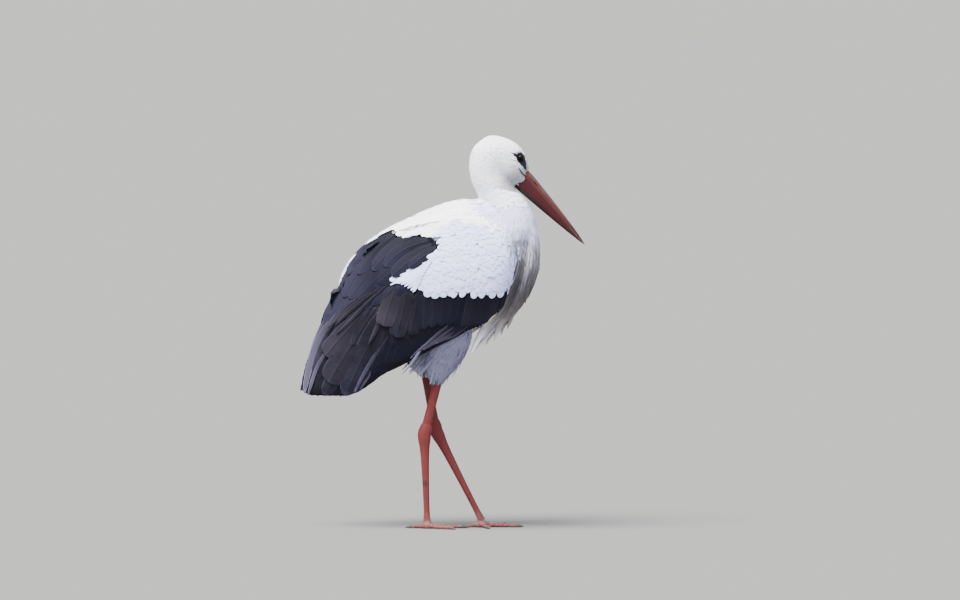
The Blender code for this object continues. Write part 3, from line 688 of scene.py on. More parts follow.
def laid(places, lengths, rows, lift, sway=0.0, free=False):
    """Spines that start at some points and run down the lie of the coat, root sunk, tip proud.

    Free ones run straight on where the form ends; the share of each that lies on the form is
    then given as well.
    """
    spot, out = form.nearest(places)
    way = lie_at(spot, out)
    side = np.cross(way, out)
    way = unit(way + side * (chance.normal(0, 1, len(spot)) * sway)[:, None])
    spots = [spot]
    outs = [out]
    shares = stations(rows)
    past = np.zeros((len(spot), 1), bool)
    held = np.zeros(len(spot))
    for stride in np.diff(shares):
        step = (lengths * stride)[:, None]
        ahead = spot + way * step
        near, facing = form.nearest(ahead)
        # A free feather leaves the form where it turns away, or falls away, under the feather.
        if free:
            past |= (way * facing).sum(axis=-1, keepdims=True) > LET_GO
            past |= np.linalg.norm(ahead - near, axis=-1, keepdims=True) > 0.5 * step + 1 * MM
        spot = np.where(past, ahead, near)
        out = np.where(past, out, facing)
        turned = unit(way * (1 - LIE_PULL) + lie_at(spot, out) * LIE_PULL)
        turned = unit(turned - out * (turned * out).sum(axis=-1, keepdims=True))
        way = np.where(past, way, turned)
        spots.append(spot)
        outs.append(out)
        held += ~past[:, 0] * stride
    spots = np.stack(spots, axis=1)
    outs = np.stack(outs, axis=1)
    low, high = (np.broadcast_to(end, len(places))[:, None] for end in lift)
    height = low + (high - low) * shares ** LIFT_EASE
    spots = spots + outs * height[..., None]
    return (spots, outs, held) if free else (spots, outs)


def scattered(spacing, wanted, tries, seed):
    """Roots strewn over the wanted faces of the form, kept apart.

    The spacing is a number, or a function of the places; where it is zero nothing grows.
    """
    strew = np.random.default_rng(seed)
    quads = form.corners[form.faces]
    spans = quads[:, 1:] - quads[:, :1]
    area = (np.linalg.norm(np.cross(spans[:, 0], spans[:, 1]), axis=-1)
            + np.linalg.norm(np.cross(spans[:, 1], spans[:, 2]), axis=-1)) * wanted
    face = strew.choice(len(area), tries, p=area / area.sum())
    a, b = strew.random((2, tries, 1))
    quad = quads[face]
    places = (quad[:, 0] * (1 - a) * (1 - b) + quad[:, 1] * a * (1 - b)
              + quad[:, 2] * a * b + quad[:, 3] * (1 - a) * b)
    gaps = np.broadcast_to(spacing(places) if callable(spacing) else spacing, tries)
    kept = []
    near = {}
    cell = 2.5 * MM
    for index, (place, gap) in enumerate(zip(places.tolist(), gaps.tolist())):
        key = tuple(int(value // cell) for value in place)
        reach = int(gap // cell) + 1
        around = itertools.product(*(range(k - reach, k + reach + 1) for k in key))
        neighbours = (other for spot in around for other in near.get(spot, ()))
        if gap > 0 and all(math.dist(place, other) >= gap for other in neighbours):
            near.setdefault(key, []).append(place)
            kept.append(index)
    return places[kept]


def inside(places, outline):
    """Which side-view places lie inside a closed outline."""
    outline = np.asarray(outline)
    following = np.roll(outline, -1, axis=0)
    x, z = places[:, :1], places[:, 1:]
    crosses = (outline[:, 1] > z) != (following[:, 1] > z)
    rise = np.where(following[:, 1] == outline[:, 1], 1e-9, following[:, 1] - outline[:, 1])
    meets = (following[:, 0] - outline[:, 0]) * (z - outline[:, 1]) / rise + outline[:, 0]
    return (crosses & (x < meets)).sum(axis=1) % 2 == 1


face_middle = form.corners[form.faces].mean(axis=1)
face_owner = owners(face_middle)
face_side = face_middle[:, [0, 2]]
outward = form.face_normals[:, 1] * np.sign(face_middle[:, 1]) > -0.3
# The quills that show, in side view: a line from root to tip, the width, and the tip's height
# over the form, both in millimetres; the ones that lie on top come last.
PRIMARIES = (
    (((-0.1803, 0.4758), (-0.2202, 0.4316), (-0.2538, 0.3832), (-0.2790, 0.2801)), 17, -1.4),
    (((-0.1047, 0.4379), (-0.1320, 0.3874), (-0.1530, 0.3412), (-0.1845, 0.2864)), 23, -0.9),
    (((-0.1173, 0.4589), (-0.1425, 0.4085), (-0.1719, 0.3538), (-0.2034, 0.2801)), 50, -0.4),
    (((-0.1593, 0.4211), (-0.1929, 0.3748), (-0.2181, 0.3328), (-0.2475, 0.2790)), 34, -1.4),
)
# Narrow silver-edged quills that show along the wing's rear and lower rims.
RIM_QUILLS = (
    (((-0.2085, 0.4926), (-0.2530, 0.4379), (-0.2805, 0.3790), (-0.2975, 0.2822)), 18, -0.6),
    (((-0.1960, 0.4842), (-0.2360, 0.4337), (-0.2700, 0.3748), (-0.2900, 0.2815)), 17, 0.5),
    (((-0.2328, 0.3895), (-0.2559, 0.3538), (-0.2685, 0.3244), (-0.2811, 0.2800)), 8, 1.0),
    (((-0.1068, 0.4169), (-0.1341, 0.3790), (-0.1572, 0.3412), (-0.1824, 0.2890)), 8, 0.4),
    (((-0.1173, 0.3874), (-0.1362, 0.3538), (-0.1530, 0.3265), (-0.1719, 0.2930)), 8, -0.4),
    (((0.0213, 0.4379), (-0.0039, 0.4169), (-0.0291, 0.3937), (-0.0669, 0.3622)), 7, 1.6),
    (((0.0339, 0.4358), (0.0087, 0.4148), (-0.0123, 0.3980), (-0.0375, 0.3748)), 7, 1.1),
    (((0.0465, 0.4337), (0.0213, 0.4148), (0.0003, 0.3980), (-0.0249, 0.3811)), 7, 0.6),
    (((0.0591, 0.4337), (0.0360, 0.4148), (0.0150, 0.4001), (-0.0081, 0.3853)), 7, 0.2),
)
# Each tertial is a midrib in side view, its width and its lift over the wing, in millimetres.
TERTIALS = (
    (((-0.1341, 0.4740), (-0.1677, 0.4211), (-0.2055, 0.3633), (-0.2380, 0.3075)), 54, 1.2),
    (((-0.1750, 0.4463), (-0.1790, 0.4300), (-0.1840, 0.4100), (-0.1890, 0.3880)), 12, 1.5),
    (((-0.1425, 0.4842), (-0.1803, 0.4379), (-0.2160, 0.3980), (-0.2433, 0.3643)), 46, 3.4),
    (((-0.0501, 0.5052), (-0.0543, 0.4674), (-0.0606, 0.4379), (-0.0669, 0.4106)), 29, -0.2),
    (((-0.0711, 0.5157), (-0.0774, 0.4779), (-0.0879, 0.4379), (-0.0963, 0.4064)), 36, 1.5),
    (((-0.0942, 0.5178), (-0.1047, 0.4863), (-0.1152, 0.4547), (-0.1215, 0.4295)), 40, 3.2),
)
# How worn each of those tertials is.
TERTIAL_WEAR = np.array((0.45, 0.35, 0.65, 0.20, 0.30, 0.75))
# Long thin ones over the tertials' rear edge.
NARROW_TERTIALS = (
    (((-0.1236, 0.4842), (-0.1299, 0.4463), (-0.1383, 0.4211), (-0.1530, 0.3916)), 10, 1.6),
    (((-0.1110, 0.5178), (-0.1488, 0.4842), (-0.1866, 0.4442), (-0.2181, 0.4106)), 9, 3.9),
    (((-0.1280, 0.5094), (-0.1656, 0.4821), (-0.1960, 0.4568), (-0.2244, 0.4253)), 9, 4.3),
    (((-0.1440, 0.5010), (-0.1761, 0.4800), (-0.2055, 0.4547), (-0.2349, 0.4232)), 9, 4.6),
    (((-0.1600, 0.4960), (-0.1887, 0.4758), (-0.2160, 0.4484), (-0.2420, 0.4085)), 9, 4.4),
)
# The scapulars that lie on top of the bed, as midribs with widths and lifts too.
SCAPULARS = (
    (((-0.1740, 0.5610), (-0.1905, 0.5180), (-0.2125, 0.4790), (-0.2400, 0.4370)), 25, -0.3),
    (((-0.1440, 0.6014), (-0.1740, 0.5636), (-0.1930, 0.5194), (-0.2100, 0.4773)), 28, 0.2),
    (((-0.0375, 0.5972), (-0.0711, 0.5720), (-0.1047, 0.5425), (-0.1341, 0.5194)), 38, 0.6),
    (((-0.0627, 0.5972), (-0.1005, 0.5636), (-0.1383, 0.5257), (-0.1782, 0.4858)), 36, 0.9),
    (((-0.0921, 0.6014), (-0.1299, 0.5636), (-0.1677, 0.5194), (-0.1950, 0.4858)), 34, 1.2),
    (((-0.1173, 0.6098), (-0.1551, 0.5636), (-0.1866, 0.5215), (-0.2076, 0.4879)), 29, 1.8),
    (((-0.0165, 0.5993), (-0.0459, 0.5804), (-0.0753, 0.5594), (-0.1047, 0.5341)), 36, 1.4),
    (((-0.1215, 0.6140), (-0.1509, 0.5951), (-0.1761, 0.5678), (-0.1971, 0.5341)), 29, 1.5),
    (((-0.0963, 0.6203), (-0.1257, 0.5993), (-0.1509, 0.5720), (-0.1761, 0.5362)), 32, 2.0),
    (((-0.0081, 0.5951), (-0.0249, 0.5846), (-0.0459, 0.5699), (-0.0690, 0.5509)), 25, 2.0),
    (((-0.0543, 0.6182), (-0.0879, 0.6035), (-0.1173, 0.5762), (-0.1446, 0.5446)), 34, 2.2),
    (((-0.0207, 0.6098), (-0.0585, 0.5993), (-0.0921, 0.5804), (-0.1194, 0.5530)), 34, 2.7),
)
# Outline of the black patch the scapulars make between the white back and the white coverts.
PATCH_TOP = ((-0.0039, 0.5920), (-0.0123, 0.6025), (-0.0207, 0.6130), (-0.0354, 0.6140),
             (-0.0501, 0.6214), (-0.0669, 0.6193), (-0.0942, 0.6109), (-0.0984, 0.6224),
             (-0.1130, 0.6300), (-0.1509, 0.6250), (-0.1929, 0.6000), (-0.2050, 0.5800))
PATCH_FOOT = ((-0.0207, 0.5785), (-0.0375, 0.5659), (-0.0459, 0.5554), (-0.0585, 0.5470),
              (-0.0879, 0.5386), (-0.1026, 0.5260), (-0.1341, 0.5049), (-0.1551, 0.4881),
              (-0.1782, 0.4797), (-0.2034, 0.4713), (-0.2244, 0.4545))
PATCH = PATCH_TOP + PATCH_FOOT[::-1]
# The bed's faces: the patch itself and, further back, the ridge above it.
on_wing = np.isin(face_owner, WINGS)
scapular_faces = outward & inside(face_side, PATCH)
scapular_faces |= ((face_middle[:, 0] < -0.150) & (face_middle[:, 0] > -0.186)
                   & (face_middle[:, 2] > height_on(PATCH_FOOT, face_middle[:, 0])))
BED_LENGTH, BED_WIDTH = 0.075, 0.026
# The white rump above the bed's rear end, which stays free of its tips.
RUMP = ((-0.195, 0.60), (-0.200, 0.544), (-0.2130, 0.502), (-0.2190, 0.482), (-0.250, 0.475),
        (-0.27, 0.60))
for side, side_name in SIDES:
    # Primaries: long narrow quills, stacked edge to edge along the wing's rear and lower rims.
    primaries = Fan()
    primaries.add(side, fanned(((-0.196, 0.500), (-0.150, 0.440)),
                               ((-0.2960, 0.284), (-0.283, 0.278), (-0.262, 0.277),
                                (-0.236, 0.278)), count=7, bow=-0.045),
                  width=0.026, low=-4.5 * MM, high=-3.0 * MM, lean=-0.3 * MM, blunt=0.55,
                  point=2.4, root_share=0.6, widest=0.3, cast=-0.8)
    primaries.add(side, fanned(((-0.100, 0.440), (-0.020, 0.430), (0.045, 0.424)),
                               ((-0.214, 0.278), (-0.186, 0.284), (-0.164, 0.298),
                                (-0.146, 0.314)), count=7, bow=-0.03),
                  width=0.026, low=-3.5 * MM, high=np.linspace(-1.6, -2.6, 7) * MM,
                  lean=0.3 * MM, blunt=0.6, point=2.4, root_share=0.8, widest=0.3, cast=0.0,
                  spread=0.2)
    primaries.place(side, PRIMARIES, low=-2.2 * MM, lean=0.3 * MM, blunt=0.8,
                    root_share=0.6, widest=0.35, cast=0.35, spread=0.3)
    worn = quill_finish("primary_vane", (0.0062, 0.0057, 0.0098), (0.029, 0.027, 0.042),
                        (0.080, 0.080, 0.125), edge_share=0.6)
    dress(primaries.piece(f"primary_quills_{side_name}", thickness=0.6 * MM), worn,
          "brown_black_plumage", f"primaries_{side_name}", Specular_IOR_Level=QUILL_SHINE)

    silvered = Fan()
    silvered.place(side, RIM_QUILLS, low=-3.0 * MM, lean=0.4 * MM, blunt=0.7, root_share=0.35,
                   cast=0.4, spread=0.4)
    worn = quill_finish("rim_vane", (0.040, 0.036, 0.056), (0.072, 0.064, 0.098),
                        (0.22, 0.20, 0.29), edge_share=0.8)
    dress(silvered.piece(f"rim_quills_{side_name}", thickness=0.5 * MM), worn,
          "brown_black_plumage", Specular_IOR_Level=QUILL_SHINE)

    # Secondaries and, over their roots, the black greater coverts that make the dark band.
    secondaries = Fan()
    secondaries.add(side, fanned(((0.110, 0.500), (0.050, 0.486), (-0.020, 0.490),
                                  (-0.060, 0.500)),
                                 ((0.020, 0.418), (-0.045, 0.374), (-0.100, 0.352),
                                  (-0.150, 0.325)), count=11, bow=-0.06),
                    width=0.040, low=np.linspace(-4.0, -2.5, 11) * MM,
                    high=np.linspace(-2.2, -1.4, 11) * MM)
    secondaries.add(side, fanned(((0.134, 0.520), (0.100, 0.510), (0.040, 0.508),
                                  (-0.045, 0.520)),
                                 ((0.118, 0.462), (0.096, 0.438), (0.055, 0.428),
                                  (0.005, 0.430), (-0.050, 0.420)), count=15),
                    width=0.024, low=-2.4 * MM, high=-0.9 * MM, blunt=0.7, lean=0.3 * MM)
    worn = quill_finish("secondary_vane", (0.0070, 0.0070, 0.0150), (0.0145, 0.0130, 0.0220),
                        (0.022, 0.022, 0.034), edge_share=0.2)
    dress(secondaries.piece(f"secondary_quills_{side_name}", thickness=0.5 * MM), worn,
          "black_plumage", f"secondaries_{side_name}", Specular_IOR_Level=QUILL_SHINE)

    # Tertials: broad, round-ended and weathered brown, fanned over the folded primaries.
    tertials = Fan()
    tertials.add(side, fanned(((-0.150, 0.500), (-0.104, 0.504), (-0.045, 0.500)),
                              ((-0.232, 0.335), (-0.195, 0.325), (-0.155, 0.350),
                               (-0.105, 0.385), (-0.055, 0.410)), count=9, bow=-0.05),
                 width=0.036, low=-3.5 * MM, high=-2.2 * MM, cast=0.0, spread=0.2)
    tertials.place(side, TERTIALS, low=-3.0 * MM, lean=0.6 * MM, blunt=0.86, root_share=0.45,
                   widest=0.6, cast=TERTIAL_WEAR, spread=0.15)
    tertials.place(side, NARROW_TERTIALS, low=-1.5 * MM, lean=0.5 * MM, blunt=0.55, point=1.6,
                   root_share=0.35, widest=0.5, cast=0.6, spread=0.3)
    worn = quill_finish("tertial_vane", (0.0085, 0.0080, 0.0145), (0.0265, 0.0220, 0.0315),
                        (0.055, 0.050, 0.072), edge_share=0.40, roughness=0.50)
    dress(tertials.piece(f"tertial_quills_{side_name}", thickness=0.9 * MM, camber=0.08), worn,
          "brown_black_plumage", f"tertials_{side_name}", Specular_IOR_Level=QUILL_SHINE)

    # Scapulars: long black feathers from the shoulder, over a bed of shorter ones that closes
    # over the back's ridge.
    scapulars = Fan()
    bed = scapular_faces & (face_middle[:, 1] * side > -1 * MM)
    roots = scattered(12 * MM, bed, tries=12000, seed=31)
    count = len(roots)
    lengths = BED_LENGTH * varied(count, 0.15)
    spots, outs = laid(roots, lengths, QUILL_ROWS, (-3.0 * MM, -0.9 * MM), sway=0.08)
    clear = (spots[:, -1, 0] > -0.262) & ~inside(spots[:, -1, [0, 2]], RUMP)
    shape = vane_shape(QUILL_ROWS, root=0.5, widest=0.45, blunt=0.62)
    widths = BED_WIDTH * 0.5 * shape * np.ones((count, 1))
    scapulars.rows.append([column[clear] for column in (spots, outs, widths, chance.random(count),
                                                        np.zeros(count))])
    scapulars.place(side, SCAPULARS, low=-3.2 * MM, lean=0.5 * MM, blunt=0.66, root_share=0.35,
                    widest=0.5)
    finish, colour, gloss, relief = quill_finish("scapular_vane", (0.0058, 0.0056, 0.0128),
                                                 (0.0102, 0.0094, 0.0190),
                                                 (0.036, 0.035, 0.064), edge_share=0.40)
    # Painted sky sheen: those on the back's ridge, which face the sky, are painted paler.
    ridge = finish.limit(-1.0 * finish.part(finish.place(), 0), 0.140, 0.200)
    colour = finish.mix(ridge * 0.55, colour, (0.030, 0.028, 0.046))
    dress(scapulars.piece(f"scapular_feathers_{side_name}", thickness=0.5 * MM),
          (finish, colour, gloss, relief), "black_plumage", f"scapulars_{side_name}",
          Specular_IOR_Level=QUILL_SHINE)

# ---------------------------------------------------------------------------------------------
# Wing coverts
# Short white feathers that roof the folded wing in rows, each tip lapping the row below; the last
# row ends in a scalloped hem over the black band.
# ---------------------------------------------------------------------------------------------
def white_barbs(finish):
    """Fine streaks along the barbs, and the gloss and relief they give."""
    out = finish.size(finish.stored("beside"))
    barb = finish.stored("along") * finish.stored("length") - out * 0.006
    strand = finish.vector(barb, out * 0.002, finish.stored("tone") * 9.0)
    streak = finish.cloud(strand, 420.0, 2.0)
    return streak, 0.62 + 0.2 * streak, finish.bump(streak, 0.25, 0.4 * MM)


def white_finish(name, bright, shade, low, high, under_shade=None):
    """White barbs, cooler and greyer towards the covered root as painted shade, with soft random
    mottling.

    The last argument is a painted shade for the underside: a colour the coat dims to between two
    heights over the floor.
    """
    finish = Finish(name)
    streak, gloss, relief = white_barbs(finish)
    drift = finish.cloud(finish.place(), 55.0, 3.0)
    share = finish.limit(finish.stored("along") * 0.55 + drift * 0.5
                         + finish.stored("tone") * 0.25 + streak * 0.2, low, high)
    colour = finish.mix(share, shade, bright)
    # Painted shade: the coat dims towards the floor.
    if under_shade:
        dim, below, above = under_shade
        height = finish.part(finish.place(), 2)
        colour = finish.mix(1.0 - finish.limit(height, below, above), colour,
                            finish.mix(share, [value * 0.66 for value in dim], dim))
    return finish, colour, gloss, relief


COVERT_ROWS = 8
HEM_LENGTH, HEM_WIDTH = 0.036, 0.0175
# Outline of the white coverts in side view, from the hem round by the shoulder.
HEM = ((0.1557, 0.5640), (0.1494, 0.5367), (0.1410, 0.5110), (0.1320, 0.4930),
       (0.1011, 0.4885), (0.0591, 0.4875), (0.0171, 0.4890), (-0.0270, 0.4905),
       (-0.0375, 0.5010), (-0.0560, 0.5100), (-0.0760, 0.5200), (-0.0980, 0.5190))
CREST = ((0.140, 0.636), (0.100, 0.652), (0.060, 0.655), (0.020, 0.645), (-0.010, 0.620))
LEADING_EDGE = ((0.163, 0.590), (0.160, 0.620))
COVERT_AREA = HEM[::-1] + LEADING_EDGE + CREST + (
    (-0.035, 0.590), (-0.055, 0.565), (-0.085, 0.545), (-0.110, 0.530))
covert_faces = on_wing & outward & inside(face_side, COVERT_AREA)
for side, side_name in SIDES:
    # The loose upper rows.
    roots = scattered(6.4 * MM, covert_faces & (face_middle[:, 1] * side > 0), tries=30000, seed=21)
    count = len(roots)
    high = np.clip((roots[:, 2] - height_on(HEM, roots[:, 0])) / 0.10, 0, 1)
    lengths = (31 - 7 * high) * MM * varied(count, 0.15)
    lifts = (-2.4 * MM, (0.08 + 0.11 * chance.normal(0, 1, count)) * MM)
    spines, outs = laid(roots, lengths, COVERT_ROWS, lifts, sway=0.16)
    tips = spines[:, -1, [0, 2]]
    keep = tips[:, 1] > height_on(HEM, tips[:, 0]) + 3 * MM
    keep &= ~inside(tips + (0.004, -0.004), PATCH)
    widths = (14.5 - 3.0 * high) * 0.5 * MM * varied(count, 0.12)
    widths = widths[:, None] * vane_shape(COVERT_ROWS, root=0.5, widest=0.5, blunt=0.50)
    parts = [chosen(keep, spines, outs, widths)]
    # The hem: two even rows, round-tipped.
    for row in range(2):
        line = np.array(HEM) + (0, 0.012 * row)
        count = 23
        shares = (np.arange(count) + 0.5 * row + 0.25) / count
        tips = through(line, shares) + chance.normal(0, 0.9 * MM, (count, 2))
        spots, outs = (rows[:, 0] for rows in form.from_side(tips[:, None], side))
        length = HEM_LENGTH * varied(count, 0.08)
        roots = spots - lie_at(spots, outs) * length[:, None]
        lifts = (-2.6 * MM, (0.15 + 0.25 * row) * MM)
        spines, outs = laid(roots, length, COVERT_ROWS, lifts, sway=0.06)
        widths = 0.5 * HEM_WIDTH * varied(count, 0.1)[:, None]
        widths = widths * vane_shape(COVERT_ROWS, root=0.5, widest=0.45, blunt=0.62)
        parts.append((spines, outs, widths, chance.random(count)))
    # Loose narrow ones at the rear stick out between scapulars and tertials.
    count = 9
    lines = fanned(((-0.020, 0.566), (-0.046, 0.524)),
                   ((-0.1080, 0.5150), (-0.094, 0.5190), (-0.0760, 0.5120), (-0.060, 0.5010)),
                   count=count)
    spots, outs = form.from_side(stepped(lines, COVERT_ROWS), side)
    widths = np.full((count, 1), 0.0032) * vane_shape(COVERT_ROWS, root=0.7, widest=0.4, blunt=0.4)
    parts.append((spots + outs * (1.0 * MM), outs, widths, chance.random(count)))
    piece = feathers(f"wing_coverts_{side_name}", *gathered(parts), VANE,
                     thickness=0.16 * MM, camber=0.03)
    # Painted light: the white coverts are painted lavender-blue for skylight, and greyer than the
    # back for the shade on the wing's side.
    worn = white_finish("covert_vane", (0.62, 0.64, 0.95), (0.36, 0.37, 0.70),
                        low=0.25, high=0.80)
    dress(piece, worn, "white_plumage", f"coverts_{side_name}")

# ---------------------------------------------------------------------------------------------
# Body feathers
# The white coat of mantle, rump, neck and head, and the softer one of belly and thighs, painted
# grey-white for shade: vanes strewn evenly over the skin, smallest on the face.
# ---------------------------------------------------------------------------------------------
HEAD_CENTRE = np.array((0.1303, 0.773))
BILL_SLOPE = math.radians(46.3)
HEAD_AXIS = np.array((math.cos(BILL_SLOPE), -math.sin(BILL_SLOPE)))
HEAD_UP = np.array((math.sin(BILL_SLOPE), math.cos(BILL_SLOPE)))
# Edge of the face feathers on the bill: height on the head's axis, place along it.
FACE_EDGE = ((-0.0200, 0.0600), (-0.0090, 0.0614), (0.0021, 0.0604), (0.0085, 0.0560),
             (0.0131, 0.0560), (0.0170, 0.0600), (0.0223, 0.0610))
# Bare black skin round the eye, from the eye's centre, in side view.
BARE_FACE = ((-0.0180, 0.0128), (-0.0066, 0.0086), (-0.0006, 0.0116), (0.0062, 0.0104),
             (0.0098, 0.0010), (0.0112, -0.0070), (0.0134, -0.0262), (0.0082, -0.0222),
             (-0.0012, -0.0100), (-0.0078, 0.0002))
EYE_PLACE = HEAD_CENTRE + HEAD_AXIS * 0.0200 + HEAD_UP * 0.0285

# Where the white back ends, in side view: over the coverts, then over the scapulars.
BACK_LINE = ((0.140, 0.628), (0.100, 0.643), (0.060, 0.646), (0.020, 0.632)) + PATCH_TOP
over_line = face_middle[:, 2] > height_on(BACK_LINE, face_middle[:, 0])
flank = (face_middle[:, 0] > 0.115) & (face_middle[:, 2] < 0.640)
mantle = (face_owner == "trunk") & (face_middle[:, 2] > 0.5) & ~flank
mantle |= on_wing & over_line & outward & (face_middle[:, 0] < 0.14)
mantle &= ~scapular_faces & ~covert_faces

COATS = (
    # name, faces, spacing, length, width, rows, lifts, bright, shade, painted shade of the
    # underside;
    # sizes of feathers and lifts in millimetres
    ("mantle_feathers", mantle, 6.4, 34.0, 15.0, 7, (-2.4, 0.2),
     (0.92, 0.90, 0.91), (0.87, 0.86, 0.90), None),
    ("neck_feathers", face_owner == "neck_upper", 3.4, 16.0, 5.6, 6, (-1.6, 0.1),
     (0.86, 0.86, 0.92), (0.72, 0.72, 0.88), None),
    # Painted shade: the throat is painted lavender-grey, for the shade under head and bill.
    ("throat_feathers", face_owner == "neck_lower", 4.6, 27.0, 8.0, 7, (-2.4, 0.2),
     (0.62, 0.62, 0.84), (0.42, 0.42, 0.68), None),
    # Painted shade: the lower breast and belly are painted grey-lavender, dimmer still low down.
    ("breast_feathers", (face_owner == "trunk") & ~mantle & ~flank, 6.0, 36.0, 9.0, 7, (-2.8, 0.6),
     (0.74, 0.74, 0.82), (0.52, 0.52, 0.62), ((0.19, 0.19, 0.275), 0.44, 0.52)),
)
# Feathers get smaller and closer between these two heights of the neck.
NECK_SPAN = (0.690, 0.735)
# Tips lower than this hang free of the wing; ones this near the middle lie on the back's ridge.
WING_FOOT = 0.43
RIDGE_HALF = 0.018
for name, wanted, spacing, length, width, rows, lifts, bright, shade, under_shade in COATS:
    roots = scattered(lambda places: spacing * MM * np.interp(places[:, 2], NECK_SPAN, (1.0, 0.65)),
                      wanted, tries=60000, seed=len(name))
    count = len(roots)
    scale = np.interp(roots[:, 2], NECK_SPAN, (1.0, 0.62))
    lengths = length * scale * MM * varied(count, 0.14)
    tips_up = (lifts[1] + 0.2 * chance.normal(0, 1, count)) * MM
    spines, outs = laid(roots, lengths, rows, (lifts[0] * MM, tips_up), sway=0.14)
    widths = (width * scale * MM * 0.5 * varied(count, 0.1))[:, None]
    widths = widths * vane_shape(rows, root=0.45, widest=0.45, blunt=0.5)
    # No tip shows over the black patch, or between the quills behind it.
    tip_x, tip_y, tip_z = spines[:, -1].T
    ridge = np.abs(tip_y) < RIDGE_HALF
    low = tip_z < WING_FOOT
    keep = ~inside(spines[:, -1, [0, 2]], PATCH) | (np.abs(tip_y) < 0.015)
    keep &= (tip_x > -0.163) | (tip_x < -0.197) | (tip_z < 0.5)
    keep &= (tip_x > -0.163) | (tip_z > 0.50) | low
    keep &= (tip_x > -0.165) | ridge | low
    keep &= (tip_x > -0.060) | ridge | (tip_z > 0.535) | low
    piece = feathers(name, *chosen(keep, spines, outs, widths), VANE,
                     thickness=0.2 * MM, camber=0.04)
    dress(piece, white_finish(name, bright, shade, low=0.2, high=0.9, under_shade=under_shade), "white_plumage")


def drooping(side, table, rows, sunk, shape, flare=0.0):
    """Single feathers from a table of lines; widths, tip heights and sunk roots are in mm."""
    lines, broad, tips_up = zip(*table)
    spots, outs = form.from_side(stepped(lines, rows), side)
    if flare:
        outs[..., 1] += side * flare
        outs = unit(outs)
    height = -sunk * MM + (np.array(tips_up)[:, None] + sunk) * MM * stations(rows) ** 0.6
    widths = np.array(broad)[:, None] * 0.5 * MM * shape
    return spots + outs * height[..., None], outs, widths, chance.random(len(table))


# Thighs: soft drooping feathers whose points make a ragged hem round the bare leg, with longer
# loose wisps in front, behind and between the legs.
WISPS = (
    (((-0.0375, 0.3864), (-0.0543, 0.3633), (-0.0669, 0.3464), (-0.0837, 0.3275)), 6, 0.2),
    (((-0.0249, 0.3759), (-0.0417, 0.3549), (-0.0543, 0.3401), (-0.0690, 0.3254)), 6, 0.5),
    (((-0.0165, 0.3654), (-0.0291, 0.3464), (-0.0396, 0.3338), (-0.0522, 0.3212)), 6, 0.2),
    (((-0.0039, 0.3717), (-0.0123, 0.3507), (-0.0186, 0.3296), (-0.0249, 0.3044)), 8, 0.6),
    (((0.0045, 0.3633), (-0.0039, 0.3422), (-0.0123, 0.3254), (-0.0186, 0.3086)), 6, 0.2),
    (((0.0339, 0.3759), (0.0297, 0.3549), (0.0213, 0.3338), (0.0087, 0.3086)), 6, 0.5),
    (((0.0465, 0.3864), (0.0402, 0.3633), (0.0339, 0.3422), (0.0213, 0.3191)), 5, 0.8),
    (((0.0549, 0.3969), (0.0486, 0.3759), (0.0444, 0.3591), (0.0360, 0.3380)), 5, 0.5),
)
THIGH_ROWS = 8
# Painted shade: each thigh's white coat is painted its own grey for the shade under the wing, the
# near one darker.
THIGH_SHADES = (((0.195, 0.190, 0.285), (0.085, 0.082, 0.132)),
               ((0.34, 0.33, 0.43), (0.19, 0.185, 0.26)))
for (side, side_name), (bright, shade) in zip(SIDES, THIGH_SHADES):
    roots = scattered(4.2 * MM, face_owner == f"thigh_{side_name}", tries=20000, seed=5)
    count = len(roots)
    lengths = np.clip(40.0 * MM * varied(count, 0.25), 0.018, 0.055)
    tips_up = (0.6 + 0.6 * chance.normal(0, 1, count)) * MM
    spines, outs, held = laid(roots, lengths, THIGH_ROWS, (-2.5 * MM, tips_up),
                              sway=0.10, free=True)
    widths = np.full((count, 1), 3.4 * MM) * vane_shape(THIGH_ROWS, root=0.5, widest=0.35,
                                                        blunt=0.25, point=1.4)
    keep = (held > 0.75) & (spines[:, -1, 2] < spines[:, 0, 2])
    wisp = vane_shape(THIGH_ROWS, root=0.6, widest=0.4, blunt=0.3, point=1.4)
    parts = [chosen(keep, spines, outs, widths),
             drooping(side, WISPS, THIGH_ROWS, sunk=4.0, shape=wisp)]
    piece = feathers(f"thigh_feathers_{side_name}", *gathered(parts), VANE,
                     thickness=0.3 * MM, camber=0.08)
    dress(piece, white_finish("thigh_vane", bright, shade, low=0.35, high=0.95), "thigh_plumage")


# Head: the smallest feathers, which leave the eye's bare skin and the bill free.
def behind_face(places):
    """How far back from the bill's root places lie on the head, from 0 to 1."""
    return np.clip((0.06 - (places[:, [0, 2]] - HEAD_CENTRE) @ HEAD_AXIS) / 0.08, 0, 1)


def head_spacing(places):
    spot = places[:, [0, 2]] - HEAD_CENTRE
    edge = np.interp(spot @ HEAD_UP, [high for high, _ in FACE_EDGE],
                     [along for _, along in FACE_EDGE])
    bare = inside(places[:, [0, 2]] - EYE_PLACE, BARE_FACE) | (spot @ HEAD_AXIS > edge)
    return np.where(bare, 0, 1.9 * MM + 0.9 * MM * behind_face(places))


HEAD_ROWS = 5
roots = scattered(head_spacing, face_owner == "head", tries=70000, seed=3)
back = behind_face(roots)
lengths = (5.4 + 6.6 * back) * MM * varied(len(roots), 0.14)
spines, outs = laid(roots, lengths, HEAD_ROWS, (-0.8 * MM, 0.06 * MM), sway=0.12)
shape = vane_shape(HEAD_ROWS, root=0.6, widest=0.4, blunt=0.30, point=1.5)
widths = ((1.2 + 0.8 * back) * MM)[:, None] * shape
keep = ~inside(spines[:, -1, [0, 2]] - EYE_PLACE, BARE_FACE)
keep &= ~inside(spines[:, 2, [0, 2]] - EYE_PLACE, BARE_FACE)
head_feathers = feathers("head_feathers", *chosen(keep, spines, outs, widths), BARB,
                         thickness=0.13 * MM, camber=0.04)
finish, colour, gloss, relief = white_finish("head_vane", (0.88, 0.88, 0.90),
                                             (0.78, 0.78, 0.84), low=0.2, high=0.9)
